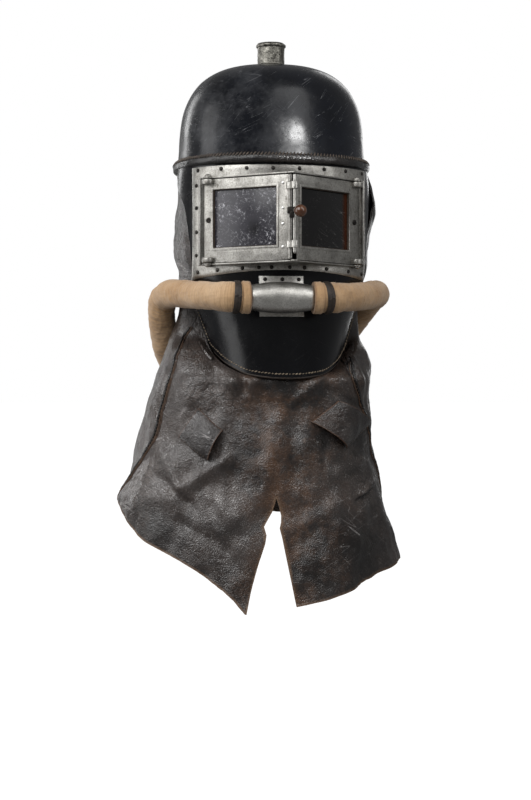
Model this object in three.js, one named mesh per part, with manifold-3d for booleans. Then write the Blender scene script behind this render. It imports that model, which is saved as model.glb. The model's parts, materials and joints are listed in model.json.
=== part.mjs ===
// A fireman's smoke helmet: a hard japanned leather crown and face mask, a two-door metal visor,
// an air barrel fed by two hoses, and a soft leather hood that widens into a shoulder cape.
// Millimetres, +Z up, the face looks along -Y, +X is the wearer's left hand side.
// The origin is the inside of the crown where it sits on the head.
// "Ahead" in the names below means the distance in front of the crown's axis, which is -Y.

import * as THREE from "three";
import { mergeVertices } from "three/addons/utils/BufferGeometryUtils.js";
import Module from "manifold-3d";

const wasm = await Module();
wasm.setup();

// ---- driving dimensions -------------------------------------------------------------------

const planPower = 2.2; // roundness of every level section: 2 is an ellipse
const leather = { hard: 3.5, soft: 2.2 };

const crown = { halfWidth: 114.5, front: 110, back: 120, height: 118, power: 3, wall: 4, bottom: -118.5 };
const welt = { top: -119, bottom: -126, reach: 6, wall: 7 };

// The hard face mask, as [height, size] from its top edge to the chin.
const mask = {
  top: -126.6,
  bottom: -386,
  halfWidth: [
    [-126, 119.5], [-150, 122], [-200, 123.5], [-245, 121], [-290, 107], [-315, 98], [-346, 90],
    [-386, 84],
  ],
  ahead: [[-126, 110], [-245, 110], [-290, 116], [-315, 119], [-346, 122], [-386, 125]],
  rearEdge: [
    [-126, 20], [-150, 24], [-165, 38], [-180, 48], [-210, 55], [-245, 58], [-280, 50], [-300, 40],
    [-315, 38], [-331, 43], [-346, 53], [-364, 74], [-386, 96],
  ],
  hole: { halfWidth: 97, top: -144.8, bottom: -249 },
  chin: [[104, -295], [97, -308], [90, -331], [84, -346], [70, -364], [46, -379], [0, -384]],
};

// The soft hood and cape, as [height, size] from the seam under the crown to the lowest hem.
const hood = {
  top: -126.6,
  left: [
    [-127, 117], [-160, 115], [-185, 118], [-212, 120], [-235, 119], [-255, 114], [-280, 114],
    [-300, 116], [-311, 119], [-329, 126], [-342, 131], [-363, 138], [-386, 145.5], [-411, 153],
    [-448, 164], [-486, 175], [-516, 184], [-532, 191], [-680, 200],
  ],
  right: [
    [-127, 120], [-147, 126], [-167, 128], [-191, 126.5], [-211, 121], [-240, 116], [-262, 113],
    [-300, 108], [-320, 107.5], [-343, 111], [-366, 117], [-396, 121], [-426, 122.5], [-461, 121.5],
    [-478, 124], [-508, 130], [-531, 136], [-553, 144], [-576, 151], [-607, 161], [-680, 170],
  ],
  ahead: [
    [-127, 110], [-245, 110], [-280, 78], [-300, 50], [-315, 44], [-331, 45], [-346, 54], [-364, 75],
    [-379, 104], [-386, 115], [-400, 114], [-430, 112], [-480, 116], [-530, 121], [-600, 130],
    [-680, 136],
  ],
  widest: [
    [-127, 0], [-200, 0], [-250, 5], [-300, 10], [-340, 18], [-400, 18], [-450, 10], [-530, 0],
    [-680, 0],
  ],
  backPower: [[-127, 2.2], [-200, 2.2], [-280, 1.95], [-330, 1.8], [-400, 1.85], [-500, 2], [-680, 2]],
  behind: [
    [-127, 120], [-160, 124], [-212, 122], [-280, 112], [-340, 102], [-370, 100], [-400, 104],
    [-450, 112], [-500, 120], [-560, 128], [-680, 136],
  ],
};

// Where the front panel meets the back one: the section angle in degrees, from straight ahead.
const seamLeft = [
  [-127, 83.5], [-165, 75.5], [-180, 70.5], [-210, 66.5], [-245, 64.5], [-280, 62], [-290, 57],
  [-300, 52], [-315, 54], [-337, 60], [-360, 65], [-430, 64], [-469, 67], [-505, 82], [-532, 92],
  [-680, 92],
];
const seamRight = [
  [-127, 83.5], [-165, 75.5], [-180, 70.5], [-210, 67], [-245, 66], [-280, 64], [-290, 58], [-300, 53],
  [-315, 52], [-331, 50], [-346, 46], [-363, 44], [-395, 46], [-438, 60], [-500, 78], [-600, 92],
  [-680, 92],
];
const panelGap = 0.5; // degrees between the two panels

// The front panel's top edge under the chin and its hem, from the left seam, 0, to the right, 1.
const neckEdge = [
  [0, -304], [0.09, -319], [0.165, -334], [0.24, -349], [0.34, -367], [0.436, -381], [0.59, -386],
  [0.778, -381], [0.917, -366], [1, -355],
];
const frontHem = [
  [0, -532], [0.05, -538], [0.11, -556], [0.19, -577], [0.27, -597], [0.32, -611], [0.37, -631],
  [0.4, -645], [0.435, -666], [0.515, -655], [0.57, -648], [0.625, -640], [0.7, -627], [0.8, -616],
  [0.87, -611], [0.94, -607], [1, -602],
];
const backHem = [[0, -532], [0.2, -540], [0.5, -556], [0.8, -566], [0.93, -585], [1, -601]];
const slit = [
  [-14, -527], [-8, -548], [-10, -565], [-2, -602], [9, -656], [18, -700], [-60, -700], [-51, -664],
  [-35, -602], [-27, -572], [-28, -558],
];
const folds = { from: -390, to: -620, depth: 5 };

const visor = {
  top: -130.5,
  bottom: -265.5,
  arch: 9.5, // how far the lower edge rises at the middle
  halfWidth: 106.5,
  gap: 0.8,
  sheet: 1.6,
  opening: { halfWidth: 99, top: -146, bottom: -247.8 },
  ledge: 1.8,
  keep: 5.6, // the ring in the lower ledge that takes the bolt's tip
  stop: 89.5, // the inner edge of the strip behind each door's tail
};
const hinge = { x: 91, ahead: 87, ridgeAhead: 162, drum: 7.5, drumHeight: 6.5, pin: 2, ear: 6 };
const hingeAngle = Math.atan2(hinge.ridgeAhead - hinge.ahead, hinge.x);
const door = {
  top: -147,
  bottom: -247,
  tail: 6, // how far it reaches behind the hinge axis
  reach: 118,
  front: -1,
  back: -4,
  mitre: 0.8, // from the ridge to each meeting edge
  lip: 2.6,
  lipRise: 1,
};
const windows = {
  left: { from: 6.5, to: 94.5, top: -159.5, bottom: -229.8 },
  right: { from: 13.5, to: 103.5, top: -161, bottom: -230.8 },
};
const pane = { overlap: 2, thick: 2, gap: 0.3 };
const rail = { along: 113, out: 0.2, radius: 2.6 };

// The bolt stands in front of the ridge; its place is given along and out from the left hinge.
const boltAhead = 168;
const bolt = {
  along: hinge.x * Math.cos(hingeAngle) + (boltAhead - hinge.ahead) * Math.sin(hingeAngle),
  out: (boltAhead - hinge.ahead) * Math.cos(hingeAngle) - hinge.x * Math.sin(hingeAngle),
  radius: 2.5,
  top: -148.5,
  bottom: -241,
};
const collars = { upper: -160.8, lower: -229.4, height: 8.7, radius: 4.2, play: 0.35 };
const knob = { x: 1, ahead: 199, z: -194, radius: 7.4, stem: 2, z0: -190.6 };

const exhaust = {
  hole: 17.7,
  bore: 15.4,
  radius: 16.9,
  rim: 18.8,
  base: 21,
  baseThick: 1.5,
  bottom: -5,
  rimFrom: 27.5,
  top: 34,
};
const inlet = { x: -10.5, ahead: 137.6, z: -290.5, halfLength: 37.2, end: 14.6, middle: 18.6, neck: 11 };
const inletPlate = { from: -33, to: 20, top: -263.5, bottom: -312, sheet: 1.8 };
const hose = { radius: 17, sides: 12, steps: 44, cuff: 19.2, cuffLength: 9.5 };
const band = { width: 7.6, bore: 18.8, radius: 20.3, lean: 0.6 };
const manifold = {
  halfLength: 49.5,
  radius: 18,
  ahead: -123,
  z: -380,
  spigot: 14,
  rim: 16,
  rimLength: 5,
  bore: 10.5,
  reach: -170,
};

// Hose routes from the barrel's end to the manifold behind the neck, as [x, ahead, height].
const hoseRoutes = {
  left: [
    [-48.2, 137.6, -290.5], [-58, 137.6, -290.5], [-72, 137, -290], [-87, 125, -288.5],
    [-101, 102, -286.5], [-112.5, 74, -284], [-124, 50, -281.5], [-131.5, 27, -281.5], [-136, 6, -287],
    [-135.8, -12, -303], [-131.5, -33, -325], [-126, -52, -343], [-118, -73, -358], [-104, -94, -370],
    [-86, -111, -377], [-68, -121, -380], [-57, -123, -380], [-50, -123, -380],
  ],
  right: [
    [27.2, 137.6, -290.5], [37, 137.6, -290.5], [48, 136, -290], [65, 128, -289], [85, 110.5, -287],
    [103, 87.5, -285], [116, 61, -281.5], [126, 35, -279.5], [130.5, 10, -279.5], [131, -13, -283],
    [127, -37, -293], [119, -61, -309], [108, -82, -328], [96, -102, -350], [81, -116, -368],
    [68, -122, -377], [57, -123, -380], [50, -123, -380],
  ],
};

// Strap keepers: corner [angle, height] pairs on the cape. The band runs from the first two to the last two.
const keepers = {
  left: [[-39.5, -420.5], [-25, -447], [-47, -456], [-30, -483]],
  right: [[11, -437], [28, -412], [34.5, -469], [60, -440]],
};
const keeper = { arch: 11, gap: 0.5, wall: 2 };

const rivetSize = { flange: 2.3, door: 1.9, screw: 3.4 };
const flangeRivets = {
  top: [-101, -76, -47, -16, 16, 47, 76, 101],
  side: [-153, -180, -209, -237],
  sideAt: 102.8,
  topAt: -134.6,
  bottom: [-101, -80, -52, -33, -18, 4, 22, 50, 80, 101],
};
const inletRivets = [-26, -5.5, 14.5];
const doorRivets = { along: 102.5, heights: [-156.5, -186, -204.5, -231.5] };
const screwHeight = -196;

// ---- materials ----------------------------------------------------------------------------

function finish(color, roughness, metalness) {
  return new THREE.MeshStandardMaterial({ color, roughness, metalness });
}
const finishes = {
  japanned: () => finish(0x14151a, 0.25, 0.0),
  soft: () => finish(0x3a3432, 0.7, 0.0),
  thread: () => finish(0x2a211c, 0.8, 0.0),
  nickel: () => finish(0xa9a79f, 0.35, 1.0),
  darkMetal: () => finish(0x2c2a29, 0.5, 0.9),
  tin: () => finish(0x8d8b83, 0.45, 1.0),
  glass: () => finish(0x2a2a30, 0.15, 0.0),
  horn: () => finish(0x6a3312, 0.2, 0.0),
  hose: () => finish(0xb79a78, 0.85, 0.0),
};

// ---- helpers ------------------------------------------------------------------------------

// A smooth reading of [place, value] rows, held flat beyond both ends.
function reader(rows) {
  const sorted = [...rows].sort((p, q) => p[0] - q[0]);
  const places = new Float32Array(sorted.map((row) => row[0]));
  const values = new Float32Array(sorted.map((row) => row[1]));
  const curve = new THREE.CubicInterpolant(places, values, 1);
  const first = places[0];
  const last = places[places.length - 1];
  return (place) => curve.evaluate(THREE.MathUtils.clamp(place, first, last))[0];
}

const point = (x, ahead, z) => new THREE.Vector3(x, -ahead, z);

// A point on a level section: half sizes to left, right, front and back of its widest place.
function onSection(angle, half, z) {
  const s = Math.sin(angle);
  const c = Math.cos(angle);
  const side = s < 0 ? half.left : half.right;
  const depth = c < 0 ? half.behind + half.widest : half.ahead - half.widest;
  const power = c < 0 && half.backPower ? half.backPower : planPower;
  const x = Math.sign(s) * side * Math.abs(s) ** (2 / power);
  return point(x, half.widest + Math.sign(c) * depth * Math.abs(c) ** (2 / power), z);
}

function closedMesh(positions, faces) {
  const geometry = new THREE.BufferGeometry();
  geometry.setAttribute("position", new THREE.Float32BufferAttribute(positions, 3));
  geometry.setIndex(faces);
  return geometry;
}

// A wall between two grids of points. outer and inner take (across, down), each from 0 to 1.
function wall(outer, inner, columns, rows, goesRound = false) {
  const positions = [];
  for (const surface of [outer, inner]) {
    for (let j = 0; j <= rows; j++) {
      for (let i = 0; i <= columns; i++) {
        const p = surface(i / columns, j / rows);
        positions.push(p.x, p.y, p.z);
      }
    }
  }
  const layer = (columns + 1) * (rows + 1);
  const at = (side, i, j) => side * layer + j * (columns + 1) + (goesRound ? i % columns : i);
  const faces = [];
  const quad = (a, b, c, d) => faces.push(a, b, c, a, c, d);
  for (let j = 0; j < rows; j++) {
    for (let i = 0; i < columns; i++) {
      quad(at(0, i, j), at(0, i, j + 1), at(0, i + 1, j + 1), at(0, i + 1, j));
      quad(at(1, i, j), at(1, i + 1, j), at(1, i + 1, j + 1), at(1, i, j + 1));
    }
  }
  for (let i = 0; i < columns; i++) {
    quad(at(0, i, 0), at(0, i + 1, 0), at(1, i + 1, 0), at(1, i, 0));
    quad(at(0, i, rows), at(1, i, rows), at(1, i + 1, rows), at(0, i + 1, rows));
  }
  if (!goesRound) {
    for (let j = 0; j < rows; j++) {
      quad(at(0, 0, j), at(1, 0, j), at(1, 0, j + 1), at(0, 0, j + 1));
      quad(at(0, columns, j), at(0, columns, j + 1), at(1, columns, j + 1), at(1, columns, j));
    }
  }
  return solid(closedMesh(positions, faces));
}

// A manifold solid from a closed three.js geometry, turned right side out.
function solid(geometry) {
  const bare = geometry.index ? geometry.toNonIndexed() : geometry.clone();
  bare.deleteAttribute("normal");
  bare.deleteAttribute("uv");
  const merged = mergeVertices(bare, 1e-4);
  const vertProperties = merged.attributes.position.array;
  const corners = merged.index.array;
  const triVerts = [];
  for (let i = 0; i < corners.length; i += 3) {
    const [a, b, c] = [corners[i], corners[i + 1], corners[i + 2]];
    if (a !== b && b !== c && c !== a) triVerts.push(a, b, c);
  }
  const build = (order) => new wasm.Manifold(new wasm.Mesh({ numProp: 3, vertProperties, triVerts: order }));
  const made = build(new Uint32Array(triVerts));
  if (made.volume() > 0) return made;
  return build(new Uint32Array(triVerts).reverse());
}

function geometryOf(manifoldSolid) {
  const mesh = manifoldSolid.getMesh();
  const geometry = new THREE.BufferGeometry();
  geometry.setAttribute("position", new THREE.BufferAttribute(new Float32Array(mesh.vertProperties), 3));
  geometry.setIndex(new THREE.BufferAttribute(new Uint32Array(mesh.triVerts), 1));
  geometry.computeVertexNormals();
  return geometry;
}

function node(name, shape, material, parent) {
  const geometry = shape.isBufferGeometry ? shape : geometryOf(shape);
  const mesh = new THREE.Mesh(geometry, material);
  mesh.name = name;
  parent.add(mesh);
  return mesh;
}

// A block between two corners, given as [x, y, z].
function block(low, high) {
  const size = high.map((value, i) => value - low[i]);
  const middle = high.map((value, i) => (value + low[i]) / 2);
  return solid(new THREE.BoxGeometry(...size).translate(...middle));
}

// An upright round bar.
function bar(radius, x, y, bottom, top, sides = 24) {
  const geometry = new THREE.CylinderGeometry(radius, radius, top - bottom, sides);
  return solid(geometry.rotateX(Math.PI / 2).translate(x, y, (top + bottom) / 2));
}

// A flat outline of [x, y] points, raised between two heights.
function plate(outline, bottom, top) {
  const shape = new THREE.Shape(outline.map(([x, y]) => new THREE.Vector2(x, y)));
  const geometry = new THREE.ExtrudeGeometry(shape, { depth: top - bottom, bevelEnabled: false });
  return solid(geometry.translate(0, 0, bottom));
}

// A front-view outline of [x, z] points, cut straight back from far ahead to behind the face.
function frontCutter(outline) {
  const shape = new THREE.Shape(outline.map(([x, z]) => new THREE.Vector2(x, z)));
  const geometry = new THREE.ExtrudeGeometry(shape, { depth: 300, bevelEnabled: false });
  return solid(geometry.rotateX(Math.PI / 2).translate(0, 50, 0));
}

// A solid or ring turned about the vertical axis, from a closed [radius, height] outline.
function turned(outline, sides) {
  const closed = [...outline, outline[0]].map(([radius, height]) => new THREE.Vector2(radius, height));
  return solid(new THREE.LatheGeometry(closed, sides).rotateX(Math.PI / 2));
}

// ---- crown, welt and mask -----------------------------------------------------------------

const crownHalf = (inset, scale = 1) => ({
  left: (crown.halfWidth - inset) * scale,
  right: (crown.halfWidth - inset) * scale,
  ahead: (crown.front - inset) * scale,
  behind: (crown.back - inset) * scale,
  widest: 0,
});

function crownShell() {
  const springing = crown.wall - crown.height;
  const domeShare = 0.96; // the rest is the short straight wall under the dome
  const hole = Math.asin((exhaust.hole / (crown.front - crown.wall)) ** (crown.power / 2));
  const surface = (inset) => (across, down) => {
    const rise = THREE.MathUtils.lerp(hole, Math.PI / 2, Math.min(down / domeShare, 1));
    const scale = Math.sin(rise) ** (2 / crown.power);
    const dome = springing + (crown.height - inset) * Math.max(Math.cos(rise), 0) ** (2 / crown.power);
    const skirt = THREE.MathUtils.mapLinear(down, domeShare, 1, springing, crown.bottom);
    return onSection(across * 2 * Math.PI, crownHalf(inset, scale), down > domeShare ? skirt : dome);
  };
  return wall(surface(0), surface(crown.wall), 40, 12, true);
}

function weltRing() {
  const face = (grow) => (across, down) => {
    const z = THREE.MathUtils.lerp(welt.top, welt.bottom, down);
    return onSection(across * 2 * Math.PI, crownHalf(-grow), z);
  };
  return wall(face(welt.reach), face(welt.reach - welt.wall), 40, 1, true);
}

const maskHalfWidth = reader(mask.halfWidth);
const maskAhead = reader(mask.ahead);
const maskRearEdge = reader(mask.rearEdge);

// A point of the mask's outer face, raised by lift, at a section angle.
function onMask(angle, z, lift = 0) {
  const side = maskHalfWidth(z) + lift;
  return onSection(angle, { left: side, right: side, ahead: maskAhead(z) + lift, behind: 0, widest: 0 }, z);
}

// The same, found by its x.
function onMaskAt(x, z, lift = 0) {
  const angle = Math.asin(Math.min(Math.abs(x) / (maskHalfWidth(z) + lift), 1) ** (planPower / 2));
  return onMask(Math.sign(x) * angle, z, lift);
}

function faceMask() {
  const surface = (inset) => (across, down) => {
    const z = THREE.MathUtils.lerp(mask.top, mask.bottom, down);
    const edge = Math.acos((maskRearEdge(z) / maskAhead(z)) ** (planPower / 2));
    return onMask(THREE.MathUtils.lerp(-edge, edge, across), z, -inset);
  };
  const body = wall(surface(0), surface(leather.hard), 28, 16);
  const side = mask.chin.map(([x, z]) => new THREE.Vector2(x, z));
  const otherSide = side.slice(0, -1).reverse().map((p) => new THREE.Vector2(-p.x, p.y));
  const curve = new THREE.SplineCurve([...side, ...otherSide]);
  const outline = curve.getPoints(36).map((p) => [p.x, p.y]);
  const outside = [...outline, [-160, -295], [-160, -420], [160, -420], [160, -295]];
  const { halfWidth, bottom, top } = mask.hole;
  const hole = block([-halfWidth, -220, bottom], [halfWidth, -40, top]);
  return body.subtract(frontCutter(outside)).subtract(hole);
}

// ---- hood and cape ------------------------------------------------------------------------

const hoodReaders = Object.fromEntries(
  ["left", "right", "ahead", "widest", "behind", "backPower"].map((side) => [side, reader(hood[side])]),
);

function onHood(degrees, z, inset = 0) {
  const angle = THREE.MathUtils.degToRad(degrees);
  const slack = THREE.MathUtils.smoothstep(-z, -folds.from, -folds.to) * folds.depth;
  const swell = slack * (0.6 * Math.sin(5 * angle + 0.6) + 0.4 * Math.sin(9 * angle - z / 55));
  const grow = swell - inset;
  return onSection(angle, {
    left: hoodReaders.left(z) + grow,
    right: hoodReaders.right(z) + grow,
    ahead: hoodReaders.ahead(z) + grow,
    behind: hoodReaders.behind(z) + grow,
    widest: hoodReaders.widest(z),
    backPower: hoodReaders.backPower(z),
  }, z);
}

const leftSeam = reader(seamLeft);
const rightSeam = reader(seamRight);

function capeFront() {
  const top = reader(neckEdge);
  const hem = reader(frontHem);
  const surface = (inset) => (across, down) => {
    const z = THREE.MathUtils.lerp(top(across), hem(across), down ** 1.5); // closest rows under the chin
    const degrees = THREE.MathUtils.lerp(-leftSeam(z) + panelGap, rightSeam(z) - panelGap, across);
    return onHood(degrees, z, inset);
  };
  return wall(surface(0), surface(leather.soft), 32, 17).subtract(frontCutter(slit));
}

function hoodBack() {
  const hem = reader(backHem);
  const surface = (inset) => (across, down) => {
    const z = THREE.MathUtils.lerp(hood.top, hem(across), down);
    const degrees = THREE.MathUtils.lerp(-leftSeam(z) - panelGap, rightSeam(z) + panelGap - 360, across);
    return onHood(degrees, z, inset);
  };
  return wall(surface(0), surface(leather.soft), 30, 19);
}

function strapKeeper(corners) {
  const [startA, startB, endA, endB] = corners;
  const surface = (extra) => (across, down) => {
    const a = [0, 1].map((k) => THREE.MathUtils.lerp(startA[k], endA[k], down));
    const b = [0, 1].map((k) => THREE.MathUtils.lerp(startB[k], endB[k], down));
    const [degrees, z] = [0, 1].map((k) => THREE.MathUtils.lerp(a[k], b[k], across));
    const lift = keeper.gap + extra + keeper.arch * Math.sin(Math.PI * down) ** 0.8;
    return onHood(degrees, z, -lift);
  };
  return wall(surface(keeper.wall), surface(0), 4, 12);
}

// ---- visor --------------------------------------------------------------------------------

const visorFoot = (x) => visor.bottom + visor.arch * (1 - (x / visor.halfWidth) ** 2);

// A sheet that lies on the mask between two x values, with its own top and foot.
function maskSheet(fromX, toX, top, foot, gap, thick, columns, rows) {
  const turnAt = (x, z) => Math.sign(x) * Math.asin((Math.abs(x) / maskHalfWidth(z)) ** (planPower / 2));
  const surface = (lift) => (across, down) => {
    const turn = THREE.MathUtils.lerp(turnAt(fromX, top), turnAt(toX, top), across);
    const x = onMask(turn, top).x;
    return onMaskAt(x, THREE.MathUtils.lerp(top, foot(x), down), lift);
  };
  return wall(surface(gap + thick), surface(gap), columns, rows);
}

function visorFrame() {
  const { halfWidth, top, bottom } = visor.opening;
  const edge = visor.halfWidth;
  const flange = maskSheet(-edge, edge, visor.top, visorFoot, visor.gap, visor.sheet, 34, 6);
  let frame = flange.subtract(block([-halfWidth, -220, bottom], [halfWidth, -30, top]));
  const slope = Math.tan(hingeAngle);
  const ridge = hinge.ridgeAhead + 0.6;
  const cheek = halfWidth - 1.5;
  const lift = visor.gap + visor.sheet / 2;
  const outline = [[-cheek, cheek * slope - ridge], [0, -ridge], [cheek, cheek * slope - ridge]];
  for (let i = 0; i <= 16; i++) {
    const x = THREE.MathUtils.lerp(halfWidth, -halfWidth, i / 16);
    outline.push([x, onMaskAt(x, top, lift).y]);
  }
  outline.reverse();
  const ledges = [[top, top + visor.ledge], [bottom - visor.ledge, bottom]];
  for (const [low, high] of ledges) {
    frame = frame.add(plate(outline, low, high));
    for (const x of [-hinge.x, hinge.x]) frame = frame.add(bar(hinge.ear, x, -hinge.ahead, low, high, 20));
  }
  const [keepLow, keepHigh] = ledges[1];
  frame = frame.add(bar(visor.keep, 0, -boltAhead, keepLow, keepHigh, 20));
  frame = frame.subtract(bar(bolt.radius + 0.6, 0, -boltAhead, keepLow - 3, keepHigh + 1, 16));
  for (const side of [-1, 1]) {
    const wallEnds = [side * halfWidth, side * (halfWidth + visor.ledge)].sort((a, b) => a - b);
    frame = frame.add(block([wallEnds[0], -83, bottom - 1], [wallEnds[1], -71, top + 1]));
    const stopEnds = [side * visor.stop, side * (halfWidth + 0.5)].sort((a, b) => a - b);
    frame = frame.add(block([stopEnds[0], -76.8, bottom - 1], [stopEnds[1], -75.2, top + 1]));
    const dome = new THREE.SphereGeometry(4, 14, 8).scale(1, 1, 0.9);
    frame = frame.add(solid(dome.translate(side * hinge.x, -hinge.ahead, top + visor.ledge)));
  }
  const hanging = [-hinge.x - 5, -hinge.ahead - 5, top - 6];
  frame = frame.subtract(block(hanging, [hinge.x + 5, -hinge.ahead + 5, top - 1e-3]));
  for (const x of [-hinge.x, hinge.x]) {
    frame = frame.add(bar(hinge.pin, x, -hinge.ahead, top - 6.5, top + 0.5, 16));
    frame = frame.add(bar(hinge.pin, x, -hinge.ahead, bottom - 0.5, bottom + 6.5, 16));
  }
  return frame;
}

// A door in its own frame: x along it from the hinge axis, -y outwards. way is 1 or -1.
function doorLeaf(way, window) {
  const slab = (from, to, out0, out1, low, high) => {
    const ends = [way * from, way * to].sort((a, b) => a - b);
    return block([ends[0], -out1, low], [ends[1], -out0, high]);
  };
  const { tail, reach, front, back, bottom, top, lip, lipRise } = door;
  const [from, to, sill, head] = [window.from, window.to, window.bottom, window.top];
  let leaf = slab(-tail, reach, back, front, bottom, top);
  leaf = leaf.add(slab(from - lip, to + lip, front - 0.5, front + lipRise, sill - lip, head + lip));
  if (way > 0) leaf = leaf.add(bar(rail.radius, rail.along, -rail.out, bottom + 0.5, top - 0.5, 16));
  const drums = [[bottom, bottom + hinge.drumHeight], [top - hinge.drumHeight, top]];
  for (const [low, high] of drums) leaf = leaf.add(bar(hinge.drum, 0, 0, low, high, 24));
  const hole = hinge.pin + 0.4;
  for (const [low, high] of drums) leaf = leaf.subtract(bar(hole, 0, 0, low - 0.7, high + 0.7, 16));
  leaf = leaf.subtract(slab(from, to, back - 1, front + 3, sill, head));
  const beyond = new THREE.BoxGeometry(60, 60, 200);
  beyond.translate(way * (30 - door.mitre), -hinge.ridgeAhead, (top + bottom) / 2);
  beyond.translate(way * hinge.x, hinge.ahead, 0).rotateZ(way * hingeAngle);
  return leaf.subtract(solid(beyond));
}

function doorPane(way, window) {
  const ends = [way * (window.from - pane.overlap), way * (window.to + pane.overlap)].sort((a, b) => a - b);
  const near = -door.back + pane.gap;
  const low = [ends[0], near, window.bottom - pane.overlap];
  return block(low, [ends[1], near + pane.thick, window.top + pane.overlap]);
}

function boltCollar(middle) {
  const [low, high] = [middle - collars.height / 2, middle + collars.height / 2];
  const ring = bar(collars.radius, bolt.along, -bolt.out, low, high, 20);
  const clasp = bar(rail.radius + 2, rail.along, -rail.out, low, high, 20);
  const bridge = block([rail.along, -bolt.out - 2, low], [bolt.along, -rail.out - 1, high]);
  const face = block([rail.along - 20, -door.front - collars.play, low - 1], [bolt.along + 20, 20, high + 1]);
  return ring
    .add(clasp)
    .add(bridge)
    .subtract(bar(bolt.radius + collars.play, bolt.along, -bolt.out, low - 1, high + 1, 16))
    .subtract(bar(rail.radius + collars.play, rail.along, -rail.out, low - 1, high + 1, 16))
    .subtract(face);
}

// The bolt in the object's own frame: rod, boss and the stem that the knob is fixed on.
function boltRod() {
  const rod = bar(bolt.radius, 0, -boltAhead, bolt.bottom + 1, bolt.top, 16);
  const tip = new THREE.SphereGeometry(bolt.radius, 16, 8);
  tip.translate(0, -boltAhead, bolt.bottom + bolt.radius);
  const boss = block([-9.5, -171.5, -195.2], [1.5, -164.4, -186]);
  const start = point(0, 169, knob.z0);
  const end = point(knob.x, knob.ahead - 3, knob.z);
  const stem = new THREE.ExtrudeGeometry(circle(knob.stem, 12), {
    steps: 1,
    extrudePath: new THREE.LineCurve3(start, end),
    bevelEnabled: false,
  });
  return rod.add(solid(tip)).add(boss).add(solid(stem));
}

function ballKnob() {
  const ball = solid(new THREE.SphereGeometry(knob.radius, 20, 14).translate(knob.x, -knob.ahead, knob.z));
  const start = point(0, 169, knob.z0);
  const end = point(knob.x, knob.ahead - 2.6, knob.z);
  const bore = new THREE.ExtrudeGeometry(circle(knob.stem + 0.35, 12), {
    steps: 1,
    extrudePath: new THREE.LineCurve3(start, end),
    bevelEnabled: false,
  });
  return ball.subtract(solid(bore));
}

function circle(radius, sides) {
  const shape = new THREE.Shape();
  for (let i = 0; i < sides; i++) {
    const angle = (i / sides) * 2 * Math.PI;
    const [x, y] = [radius * Math.cos(angle), radius * Math.sin(angle)];
    if (i === 0) shape.moveTo(x, y);
    else shape.lineTo(x, y);
  }
  shape.closePath();
  return shape;
}

// ---- exhaust, air inlet and hoses ---------------------------------------------------------

function exhaustTube() {
  const { bore, radius, rim, base, baseThick, bottom, rimFrom, top } = exhaust;
  const baseLow = crown.wall + 0.4;
  const baseHigh = baseLow + baseThick;
  return turned([
    [bore, bottom], [radius, bottom], [radius, baseLow], [base, baseLow], [base, baseHigh],
    [radius, baseHigh], [radius, rimFrom], [rim, rimFrom + 1], [rim, top], [bore, top],
  ], 32);
}

function airInlet() {
  const outline = [[0, -inlet.halfLength]];
  for (let i = 0; i <= 8; i++) {
    const along = THREE.MathUtils.lerp(-inlet.halfLength, inlet.halfLength, i / 8);
    const bulge = Math.cos((along / inlet.halfLength) * (Math.PI / 2)) ** 0.9;
    outline.push([inlet.end + (inlet.middle - inlet.end) * bulge, along]);
  }
  outline.push([0, inlet.halfLength]);
  const profile = outline.map(([radius, along]) => new THREE.Vector2(radius, along));
  const barrel = new THREE.LatheGeometry(profile, 24).rotateZ(Math.PI / 2);
  const { from, to, top, bottom, sheet } = inletPlate;
  const base = maskSheet(from, to, top, () => bottom, visor.gap, sheet, 8, 6);
  const neckLength = inlet.ahead - maskAhead(inlet.z) - visor.gap - sheet / 2;
  const neck = new THREE.CylinderGeometry(inlet.neck, inlet.neck, neckLength, 20);
  neck.translate(inlet.x, neckLength / 2 - inlet.ahead, inlet.z);
  return solid(barrel.translate(inlet.x, -inlet.ahead, inlet.z)).add(solid(neck)).add(base);
}

const hosePath = (route) =>
  new THREE.CatmullRomCurve3(route.map(([x, ahead, z]) => point(x, ahead, z)), false, "centripetal");

function hoseSolid(route, way) {
  const path = hosePath(route);
  const settings = { steps: hose.steps, extrudePath: path, bevelEnabled: false };
  const tube = solid(new THREE.ExtrudeGeometry(circle(hose.radius, hose.sides), settings));
  const [x, ahead, z] = route[0];
  const cuff = new THREE.CylinderGeometry(hose.cuff, hose.cuff, hose.cuffLength, 20).rotateZ(Math.PI / 2);
  return tube.add(solid(cuff.translate(x + (way * hose.cuffLength) / 2, -ahead, z)));
}

// A clamping band on the hose just beyond its cuff, leaning part of the way into the bend.
function hoseBand(route) {
  const path = hosePath(route);
  const place = (hose.cuffLength + 2.5 + band.width / 2) / path.getLength();
  const [low, high] = [-band.width / 2, band.width / 2];
  const ring = turned([[band.bore, low], [band.radius, low], [band.radius, high], [band.bore, high]], 20);
  const along = path.getTangentAt(0).lerp(path.getTangentAt(place), band.lean).normalize();
  const facing = new THREE.Quaternion().setFromUnitVectors(new THREE.Vector3(0, 0, 1), along);
  return geometryOf(ring).applyQuaternion(facing).translate(...path.getPointAt(place));
}

function airManifold() {
  const m = manifold;
  const pipe = new THREE.CylinderGeometry(m.radius, m.radius, 2 * m.halfLength, 24).rotateZ(Math.PI / 2);
  const outlet = (radius, from, to) => {
    const geometry = new THREE.CylinderGeometry(radius, radius, from - to, 24);
    return solid(geometry.translate(0, -(from + to) / 2, m.z));
  };
  return solid(pipe.translate(0, -m.ahead, m.z))
    .add(outlet(m.spigot, m.ahead, m.reach))
    .add(outlet(m.rim, m.reach + m.rimLength, m.reach))
    .subtract(outlet(m.bore, m.ahead + 2, m.reach - 1));
}

// ---- rivets and screws --------------------------------------------------------------------

function rivetHead(radius, height) {
  const outline = [[0, 0], [radius, 0], [radius * 0.75, height * 0.7], [0, height]];
  const profile = outline.map(([r, z]) => new THREE.Vector2(r, z));
  return new THREE.LatheGeometry(profile, 8).rotateX(Math.PI / 2);
}

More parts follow.
